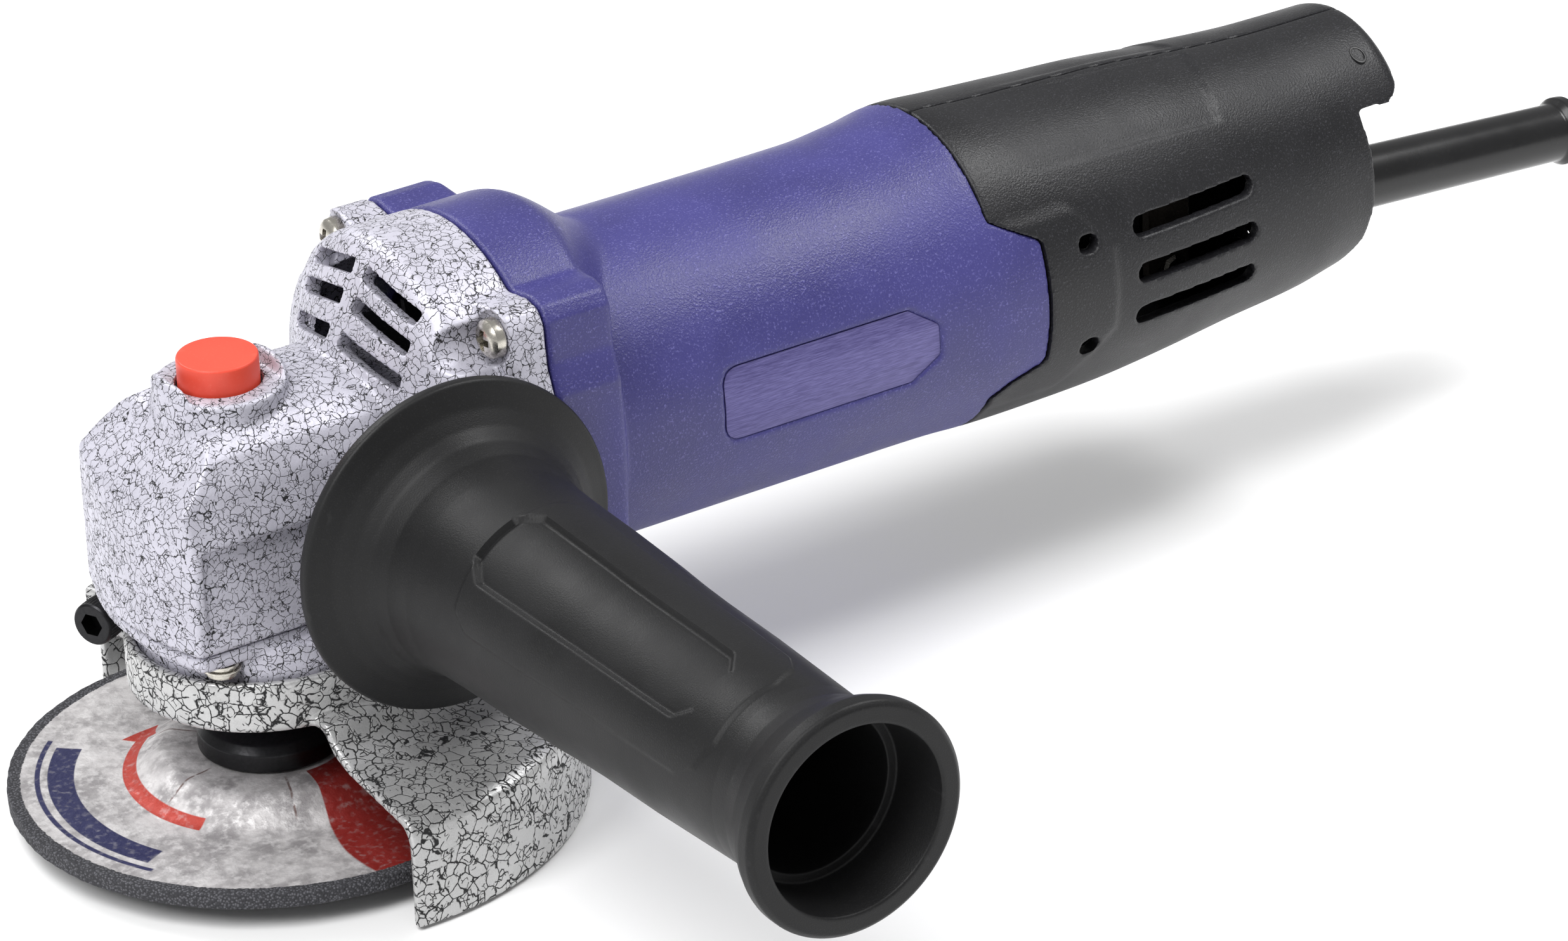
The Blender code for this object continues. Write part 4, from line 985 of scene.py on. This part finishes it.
def make_name_plate(side, side_sign):
    """Blank foil plate in the recess of the motor shell."""
    plate = prism("name_plate_" + side, resampled(plate_outline(0.45), 1.2), 10.0, 45.0, FACING[side_sign])
    keep(plate, rod("outer", BODY_R - 0.42, 70.0, 150.0, MOTOR_AXIS, 240))
    cut(plate, rod("inner", BODY_R - 0.85, 60.0, 160.0, MOTOR_AXIS, 240))
    bevel(plate, 0.12, 2, 50.0)
    show(plate, "housing", "blue_plastic", LOOKS["plate"])


# ---------------------------------------------------------------- rear covers

def soft_inside(x, low, high, soft):
    """1 well inside the span, falling to 0 across its soft ends."""
    edge = min(x - low, high - x)
    t = min(max(edge / soft + 0.5, 0.0), 1.0)
    return t * t * (3 - 2 * t)


def cover_radius(x, angle):
    """The body's outside, with a shallow panel on top and a raised pad on each side."""
    r = body_radius(x, angle)
    across = abs(math.degrees(math.atan2(math.cos(angle), math.sin(angle))))     # from the top
    z = r * math.sin(angle) + MOTOR_Z
    fade = min(1.0, max(0.0, (x - 162.0) / 20.0))
    panel = soft_inside(x, 150.0, 213.0 - across * 0.12, 0.8) * soft_inside(across, 4.0, 41.0, 1.6)
    pad_end = 174.6 - max(0.0, z - 71.0) * 0.9 - max(0.0, 54.0 - z) * 0.9
    pad = soft_inside(x, 130.0, pad_end, 2.0) * soft_inside(z, 42.0, 80.0, 3.0)
    return r - 0.35 * panel * fade + 0.45 * pad


def cover_ring(x, angles, inset=0.0):
    out = []
    for angle in angles:
        r = cover_radius(x, angle) - inset
        out.append((x, r * math.cos(angle), MOTOR_Z + r * math.sin(angle)))
    return out


def rear_shell_outside(name, side_sign):
    """One half of the cover: tabbed in front, hooded over the switch at the rear."""
    angles = round_angles(240)
    rings = [cover_ring(x, angles) for x in steps_between(146.0, 251.0, 1.0)]
    rings += [cover_ring(x, angles, inset) for x, inset in ((252.4, 0.35), (253.4, 1.1), (HOOD_END, 2.4))]
    shell = loft(name, rings)
    inner = loft("inner", [body_ring(x, angles, 2.6) for x in steps_between(144.0, COVER_END - 3.0, 4.0)])
    cut(inner, box("cradle", (161.0, -40, 49.0), (169.0, 40, 75.0)))
    for x, z in SCREW_SPOTS:
        cut(inner, rod("boss", 4.2, -40, 40, placed(TO_Y, (x, 0, z)), 32))
    if side_sign > 0:
        cut(inner, box("shelf", (207.0, 6.0, 41.0), (218.0, 40.0, 64.0)))
    cut(shell, inner)

    cut(shell, behind_tab("front", GAP, True))
    near, far = sorted((-50.0 * side_sign, 0.12 * side_sign))
    cut(shell, box("other_half", (100, near, 0), (300, far, 130)))
    end = [(COVER_END, HOOD_LOW), (242.4, 70.0), (242.6, 60.0), (242.0, 50.0), (239.5, 43.5), (234.0, 38.0),
           (226.0, 34.5), (215.0, 20.0), (275.0, 20.0), (275.0, HOOD_LOW - 0.5), (250.5, HOOD_LOW - 0.5)]
    cut(shell, prism("below_hood", rounded(end, [1.2, 3, 6, 6, 4, 4, 0, 0, 0, 0, 0], 5), -50, 50, FROM_Y))
    hood = [(275.0, 60.0), (275.0, 100.0), (253.6, 100.0), (253.9, 88.5), (254.2, 84.0), (252.6, 79.4),
            (249.0, 77.4), (249.0, 60.0)]
    return cut(shell, prism("hood_corner", rounded(hood, [0, 0, 0, 4, 4, 3, 0, 0], 6), -50, 50, FROM_Y))


def make_rear_shell(side, side_sign):
    shell = rear_shell_outside("rear_shell_" + side, side_sign)
    cut(shell, rod("bearing_hole", 11.7, 155.0, 175.0, MOTOR_AXIS))
    cut(shell, box("toggle_way", (233.0, -9.2, HOOD_LOW - 1.5), (260.0, 9.2, 84.8)))
    cut(shell, rod("cord_way", 7.1, 230.0, 250.0, placed(TO_X, (0, 0, CORD_AT[2] - 0.15))))
    for z in VENT_ROWS:
        cut(shell, prism("vent", stadium(VENT_X, z, 31.0, 4.1), 8.0, 45.0, FACING[side_sign]))
    for z in PEEP_ROWS:
        cut(shell, prism("peep", stadium(PEEP_X, z, 4.6, 3.6), 8.0, 45.0, FACING[side_sign]))
    for x, z in SCREW_SPOTS:
        spot = placed(TO_Y, (x, 0, z))
        if side_sign > 0:
            cut(shell, rod("way", 1.9, -12.0, 20.0, spot, 24))
            cut(shell, rod("head", 3.4, 10.0, 45.0, spot, 40))
        else:
            cut(shell, rod("way", 1.9, -9.0, 12.0, spot, 24))
    if side_sign > 0:
        for z in CLAMP_SCREW_ROWS:
            cut(shell, rod("clamp_way", 1.6, 2.0, 15.0, placed(TO_Y, (CLAMP_SCREW_X, 0, z)), 20))
    cast(shell, 0.42, 2, 0.5)
    show(shell, "housing", "black_plastic", LOOKS["black"], "rear_cover_" + side)


def make_off_mark():
    """Raised ring on the hood: the off side of the switch."""
    angle = math.radians(OFF_MARK_TURN)
    r = cover_radius(OFF_MARK_X, angle)
    at = Vector((OFF_MARK_X, r * math.cos(angle), MOTOR_Z + r * math.sin(angle)))
    turn = Matrix.Rotation(angle - math.pi / 2, 4, "X")
    profile = rounded(((2.2, 0.22), (2.2, -0.6), (1.6, -0.6), (1.6, 0.22)), 0.12, 2)
    stretch = Matrix.Diagonal((0.75, 1.0, 1.0, 1.0))
    ring = lathe("off_mark", profile, Matrix.Translation(at) @ turn @ stretch, 48)
    show(ring, "housing", "black_plastic", LOOKS["switch"])


def make_cover_screws():
    for number, (x, z) in enumerate(SCREW_SPOTS, 1):
        make_screw("cover_screw_%d" % number, "rear_cover_screw_%d" % number, (x, 10.3, z), FROM_Y,
                   3.1, 2.2, 1.6, 17.0)


def make_switch_lever():
    """Flat lever under the hood, grooved where a finger pushes it."""
    low, high = extent("switch_toggle")
    spin = Matrix.Translation((SWITCH_X, 0, 0)) @ Matrix.Rotation(math.radians(SWITCH_TURN), 4, "Z")
    outline = [(-4.4, -2.6), (8.0, -2.6), (12.3, -3.0), *arc(13.3, 0, 2.8, -70, 70, 10), (12.3, 3.0),
               (8.0, 2.6), (-4.4, 2.6)]
    outline = rounded(outline, [0.8, 0, 0.5] + [0] * 11 + [0.5, 0, 0.8])
    lever = prism("switch_lever", outline, low.z, high.z, spin)
    for x in (9.5, 11.5, 13.5):
        for side_sign in (-1, 1):
            spot = spin @ Matrix.Translation((x, side_sign * 3.15, 0))
            cut(lever, rod("groove", 0.45, low.z - 1, high.z + 1, spot, 16))
    bevel(lever, 0.35, 2, 50.0)
    show(lever, "switch_toggle", "switch_plastic", LOOKS["switch"], "switch_toggle")


def make_cord_sleeve():
    """Rubber sleeve that ends in an open lip."""
    lean = placed(Matrix.Rotation(math.radians(90.0 + CORD_TILT), 4, "Y"), CORD_AT)
    profile = ((6.2, 75.5), (7.1, 74.9), (7.1, 72.9), (6.0, 71.4), (6.5, 4.2), (6.5, -0.6), (9.0, -0.6),
               (9.0, -4.0), (3.6, -4.0), (3.6, 75.5))
    radii = [0.5, 0.7, 0.9, 1.4, 0, 0, 0.3, 0.3, 0, 0.9]
    sleeve = lathe("cord_sleeve", resampled(rounded(profile, radii, 5), 2.5), lean, 72)
    show(sleeve, "housing", "black_rubber", LOOKS["rubber"], "cord_guard")


# ---------------------------------------------------------------- lock button, wheel and flanges

def make_button():
    profile = ((0, BUTTON_TOP), (BUTTON_R - 0.2, BUTTON_TOP), (BUTTON_R, BUTTON_TOP - 0.4),
               (BUTTON_R, button_low.z), (0, button_low.z))
    cap = lathe("button_cap", resampled(rounded(profile, [0, 0.6, 0.6, 0.4, 0]), 1.0, False), BUTTON_AXIS)
    show(cap, "lock_button", "red_plastic", LOOKS["red"], "lock_button")


def gritty(point, r, h, angle):
    """Uneven rim, and a sheet that isn't quite flat."""
    wave = 0.10 * math.sin(5 * angle + r * 0.2) * math.sin(r * 0.31 + 2 * angle)
    if r > WHEEL_R - 2.0:
        chip = 0.12 * math.sin(53 * angle + h) * math.sin(31 * angle) - 0.12
        point = Vector((point.x * (1 + chip / r), point.y * (1 + chip / r), point.z))
    return point + Vector((0, 0, wave if 16 < r < WHEEL_R - 1 and h > 0.1 else 0))


def make_wheel():
    """Depressed-centre wheel: a flat rim and a raised middle."""
    top = WHEEL_RISE + WHEEL_THICK
    profile = [(27.5, WHEEL_THICK), (WHEEL_R, WHEEL_THICK), (WHEEL_R, 0), (27.0, 0), (20.0, WHEEL_RISE),
               (WHEEL_BORE_R, WHEEL_RISE), (WHEEL_BORE_R, top), (20.6, top)]
    fine = resampled(rounded(profile, [5, 0.4, 0.4, 5, 4, 0, 0, 4]), 0.8)
    disc = lathe("abrasive_disc", fine, AS_IS, 288, gritty)
    show(disc, "spindle", "abrasive", LOOKS["wheel"], "grinding_wheel")


def make_flanges():
    """Clamping flange over the wheel, and the pin nut under it."""
    low, high = extent("inner_flange")
    bore = [(FLANGE_BORE_R, low.z), (FLANGE_BORE_R, high.z)]
    flange = [(8.8, high.z), (8.8, 15.5), (12.6, 13.2), (13.8, 11.6), (13.8, low.z)] + bore
    piece = lathe("clamping_flange", resampled(rounded(flange, [0.3, 1.5, 1.5, 0.8, 0.5, 0, 0]), 2.0))
    show(piece, "spindle", "black_steel", LOOKS["blackened"], "inner_flange")

    low, high = extent("lock_nut")
    bore = [(FLANGE_BORE_R, low.z), (FLANGE_BORE_R, high.z)]
    nut = [(7.8, high.z), (7.8, 4.4), (14.0, 4.4), (14.0, 1.6), (13.2, low.z)] + bore
    piece = lathe("pin_nut", rounded(nut, [0.2, 0, 0.3, 0.4, 0.4, 0, 0]))
    for number in range(4):
        a = math.radians(45.0 + 90.0 * number)
        cut(piece, rod("key", 2.0, -2.0, 3.0, placed(AS_IS, (10.4 * math.cos(a), 10.4 * math.sin(a), 0)), 32))
    bevel(piece, 0.15, 2, 50.0)
    show(piece, "spindle", "black_steel", LOOKS["blackened"], "lock_nut")


def make_spindle():
    low, high = extent("spindle")
    shaft = [(0, high.z), (4.2, high.z), (4.5, high.z - 0.4), (4.5, 57.4), (6.0, 57.0), (6.0, 29.0),
             (7.0, 28.6), (7.0, 22.4), (5.0, 22.2), (5.0, 16.0)]
    top = 16.0
    while top > 2.0:
        shaft += [(4.3, top - THREAD_PITCH * 0.5), (4.95, top - THREAD_PITCH * 0.9),
                  (4.95, top - THREAD_PITCH)]
        top -= THREAD_PITCH
    shaft += [(4.4, low.z + 0.1), (4.2, low.z), (0, low.z)]
    piece = lathe("threaded_spindle", shaft, AS_IS, 48)
    show(piece, "spindle", "bearing_steel", LOOKS["steel"], "spindle", angle=30.0)


# ---------------------------------------------------------------- wheel guard

CLAMP_TURN = Matrix.Rotation(math.radians(CLAMP_ANGLE), 4, "Z")
CLAMP_MIDDLE = CLAMP_TURN @ Vector((CLAMP_R, 0, CLAMP_Z))


def make_guard():
    """Half skirt round the wheel, on a collar that is split and clamped at its lugs."""
    inside = COLLAR_R - COLLAR_WALL
    collar = ((COLLAR_R, COLLAR_TOP), (COLLAR_R, COLLAR_LOW), (inside, COLLAR_LOW), (inside, COLLAR_TOP))
    ring = lathe("collar", rounded(collar, 0.5, 3), AS_IS, 144)
    inner = GUARD_R - GUARD_SHEET
    shell = ((25.4, 24.9), (29.6, 24.9), (33.2, 21.4), (37.4, 19.7), (56.4, 17.4), (58.7, 16.2),
             (GUARD_R, 13.4), (GUARD_R, GUARD_LOW), (inner, GUARD_LOW), (inner, 13.2), (56.2, 15.5),
             (37.0, 17.9), (32.1, 19.6), (28.8, 23.1), (25.4, 23.1))
    radii = [0, 2.0, 2.5, 2.5, 3.5, 2.0, 2.5, 0.5, 0.5, 2.0, 2.5, 2.5, 2.5, 2.0, 0]
    skirt = lathe("guard_shell", rounded(shell, radii), AS_IS, 240)
    cut(skirt, box("front", (-80, -80, -20), (GUARD_FRONT_X, 80, 40)))
    lugs = box("lugs", (24.6, -4.4, 24.2), (37.4, 4.4, COLLAR_TOP), CLAMP_TURN)
    piece = joined("guard_shell", ring, skirt, lugs)
    cast(piece, 0.42, 2)
    cut(piece, box("split", (20.0, -1.4, 20.0), (45.0, 1.4, 40.0), CLAMP_TURN))
    cut(piece, rod("bolt_way", CLAMP_WAY_R, -10.0, 10.0, placed(CLAMP_TURN @ TO_Y, CLAMP_MIDDLE), 24))
    cast(piece, 0.42, 1, 0.5)
    show(piece, "wheel_guard", "crackle_guard", LOOKS["guard"], "wheel_guard")


def knurl(point, r, h, angle):
    if r > 4.1 and h < 8.6:
        point = Vector((point.x, point.y, 0)) * (1 + 0.02 * math.cos(36 * angle)) + Vector((0, 0, h))
    return point


def make_clamp_bolt():
    """Socket-head bolt with a knurled head."""
    along = placed(CLAMP_TURN @ TO_Y, CLAMP_MIDDLE)
    profile = ((0, 9.3), (3.9, 9.3), (4.25, 8.9), (4.25, 4.7), (2.5, 4.7), (2.5, -9.5), (0, -9.5))
    bolt = lathe("clamp_bolt", resampled(rounded(profile, [0, 0.3, 0.3, 0.3, 0.1, 0.5, 0], 3), 0.8, False),
                 along, 216, knurl)
    hexagon = [(2.4 * math.cos(a), 2.4 * math.sin(a)) for a in round_angles(6)]
    cut(bolt, prism("socket", hexagon, 6.3, 12.0, along))
    show(bolt, "wheel_guard", "black_steel", LOOKS["blackened"], "guard_clamp_bolt", angle=30.0)


def make_clamp_nut():
    """Hexagon nut with both faces chamfered."""
    across = placed(CLAMP_TURN @ FROM_Y, CLAMP_MIDDLE)
    hexagon = [(4.3 * math.sin(a), 4.3 * math.cos(a)) for a in round_angles(6)]
    nut = prism("clamp_nut", hexagon, 4.7, 8.4, across)
    cone = lathe("chamfer", ((0, 8.4), (3.8, 8.4), (5.2, 7.6), (5.2, 5.4), (3.8, 4.7), (0, 4.7)), across, 48)
    keep(nut, cone)
    cut(nut, rod("nut_bore", CLAMP_WAY_R, 0.0, 12.0, across, 32))
    bevel(nut, 0.12, 2, 30.0)
    show(nut, "wheel_guard", "zinc_steel", LOOKS["nickel"], "guard_clamp_nut", angle=30.0)


# ---------------------------------------------------------------- side handle

# Grip's outer radius by distance from the gear housing's boss face
GRIP_SHAPE = ((10.4, 24.8), (12.6, 22.9), (16.5, 21.5), (22.0, 20.7), (30.0, 20.3), (45.0, 19.9),
              (59.5, 19.3), (67.5, 18.8), (75.5, 18.5), (91.5, 18.2), (99.5, 17.9), (107.5, 17.6),
              (115.5, 17.3), (120.0, 17.6), (124.0, 18.9), (128.0, 20.9))
PANEL_TURNS = (120.0, 300.0)     # where the two panels face, from +X towards +Z
PANEL_R = 18.6                   # radius at which the outlines below are drawn
PANEL_END = 127.9
RECESS = ((-8.0, 40.4), (-4.6, 36.3), (4.6, 36.3), (8.0, 40.4), (8.0, 99.6), (4.8, 103.4), (-4.8, 103.4),
          (-8.0, 99.6))
RAISED = ((-16.8, 41.0), (-14.0, 37.0), (14.0, 37.0), (16.8, 41.0), (16.8, 104.5), (14.0, 109.5),
          (8.0, 112.4), (-8.0, 112.4), (-14.0, 109.5), (-16.8, 104.5))


def inside_by(point, outline):
    """Signed distance into a convex outline: positive inside."""
    x, y = point
    depths = []
    for (ax, ay), (bx, by) in zip(outline, outline[1:] + outline[:1]):
        ux, uy = bx - ax, by - ay
        depths.append((ux * (y - ay) - uy * (x - ax)) / math.hypot(ux, uy))
    return min(depths)


def step_up(distance, soft):
    t = min(max(distance / soft + 0.5, 0.0), 1.0)
    return t * t * (3 - 2 * t)


def panelled(point, r, h, angle):
    """Raised panel on each side of the grip, with a recess inside it."""
    if h < 30.0 or h > PANEL_END or r < 17.0:
        return point
    lift = 0.0
    for turn in PANEL_TURNS:
        off = (math.degrees(angle) - turn + 180.0) % 360.0 - 180.0
        spot = (math.radians(off) * PANEL_R, h)
        lift += 0.42 * step_up(inside_by(spot, RAISED), 0.7)
        lift -= 1.25 * step_up(inside_by(spot, RECESS), 0.6)
    return Vector((point.x * (1 + lift / r), point.y * (1 + lift / r), h))


def make_grip():
    """Moulded handle: flange, neck, panelled grip and an open, lipped end."""
    neck = rounded([(r, h) for h, r in GRIP_SHAPE], 3.0, 3, False)
    start = [(11.4, 0.3), (11.4, 3.7), (GRIP_FLANGE_R, 3.9), (GRIP_FLANGE_R, 6.3), (30.4, 7.0), (27.6, 8.2)]
    start = rounded(start + [(24.8, 10.4)], [0.4, 1.0, 1.1, 1.1, 3.0, 5.0, 0], 6, False)[:-1]
    lip = [(20.9, 128.0), (21.8, 130.2), (21.8, 132.6), (20.9, 133.4), (17.6, 133.4), (16.8, 121.0),
           (14.9, 121.0), (14.6, 60.0), (4.4, 42.0), (4.4, 0.3), (11.4, 0.3)]
    end = rounded(lip, [0, 1.5, 1.0, 1.0, 0.8, 0.5, 0.4, 6.0, 1.0, 0, 0], 5, False)[1:-1]
    rear = len(end) // 2
    profile = resampled(start + neck + end[:rear], 0.55, False)[:-1]
    profile += resampled(end[rear:] + start[:1], 2.0, False)[:-1]
    steps = 320
    grip = lathe("hand_grip", profile, placed(FROM_Y, (HANDLE_X, -HANDLE_FACE, HANDLE_Z)), steps, panelled)
    show(grip, "side_handle", "handle_plastic", LOOKS["grip"], "side_grip", angle=60.0)


# ---------------------------------------------------------------- stage

# Area lights: place, what they point at, width, power
LIGHTS = {"left_light": ((-800, -250, 700), (40, 0, 60), 360, 3.0),
          "side_light": ((640, -200, 880), (150, 0, 60), 450, 5.0),
          "back_light": ((-130, 750, 760), (40, -60, 60), 420, 3.5)}
WORLD_LIGHT = 0.42
SUN_POWER = 1.9
SUN_SPREAD = 35.0
SUN_WAY = (0.45, 0.15, -1.0)
FLOOR_HALF = 6000.0
FLOOR_TOP = -4.6
CAMERA_TURN = (-33.09, 26.586, -2.093)       # azimuth, elevation, roll in degrees
CAMERA_AWAY = 1314.5
CAMERA_AIM = (116.72, 0.0, 28.28)
CAMERA_LENS = 155.23


def make_floor():
    near, far = -FLOOR_HALF, FLOOR_HALF
    floor = box("floor", (near, near, -60.0), (far, far, FLOOR_TOP))
    pale = bpy.data.materials.new("pale_floor")
    pale.use_nodes = True
    shader = pale.node_tree.nodes["Principled BSDF"]
    shader.inputs["Base Color"].default_value = (0.93, 0.93, 0.93, 1.0)
    shader.inputs["Roughness"].default_value = 0.9
    shader.inputs["Specular IOR Level"].default_value = 0.1
    floor.data.materials.append(pale)


def linked(name, data, matrix):
    made = bpy.data.objects.new(name, data)
    bpy.context.scene.collection.objects.link(made)
    made.matrix_world = matrix
    return made


def pointing(way):
    return Vector(way).to_track_quat("-Z", "Y").to_matrix().to_4x4()


def make_lights():
    """Soft white surroundings, a wide sun from above and three softboxes."""
    world = bpy.data.worlds.new("studio")
    world.use_nodes = True
    surroundings = world.node_tree.nodes["Background"]
    surroundings.inputs["Color"].default_value = (1.0, 1.0, 1.0, 1.0)
    surroundings.inputs["Strength"].default_value = WORLD_LIGHT
    bpy.context.scene.world = world
    bpy.context.scene.view_settings.view_transform = "Standard"
    for name, (place, aim, width, watts) in LIGHTS.items():
        light = bpy.data.lights.new(name, "AREA")
        light.shape = "RECTANGLE"
        light.size = width * MM
        light.size_y = width * 0.7 * MM
        light.energy = watts
        way = Vector(aim) - Vector(place)
        linked(name, light, Matrix.Translation(Vector(place) * MM) @ pointing(way))
    sun = bpy.data.lights.new("overhead_light", "SUN")
    sun.energy = SUN_POWER
    sun.angle = math.radians(SUN_SPREAD)
    linked("overhead_light", sun, pointing(SUN_WAY))


def make_camera():
    """Camera at the photograph's viewing angle."""
    azimuth, elevation, roll = (math.radians(turn) for turn in CAMERA_TURN)
    back = Vector((math.sin(azimuth) * math.cos(elevation), -math.cos(azimuth) * math.cos(elevation),
                   math.sin(elevation)))
    right = Vector((math.cos(azimuth), math.sin(azimuth), 0.0))
    up = back.cross(right)
    level_right = right * math.cos(roll) + up * math.sin(roll)
    level_up = up * math.cos(roll) - right * math.sin(roll)
    data = bpy.data.cameras.new("camera")
    data.sensor_width = 36.0
    data.lens = CAMERA_LENS
    data.clip_start = 0.05
    place = (Vector(CAMERA_AIM) + back * CAMERA_AWAY) * MM
    turn = Matrix((level_right, level_up, back)).transposed().to_4x4()
    bpy.context.scene.camera = linked("camera", data, Matrix.Translation(place) @ turn)


finish_cad_nodes()
make_gear_case()
make_bearing_case()
make_front_screws()
make_motor_shell()
make_name_plate("left", -1)
make_name_plate("right", 1)
make_rear_shell("left", -1)
make_rear_shell("right", 1)
make_off_mark()
make_cover_screws()
make_switch_lever()
make_cord_sleeve()
make_button()
make_wheel()
make_flanges()
make_spindle()
make_guard()
make_clamp_bolt()
make_clamp_nut()
make_grip()
make_floor()
make_lights()
make_camera()
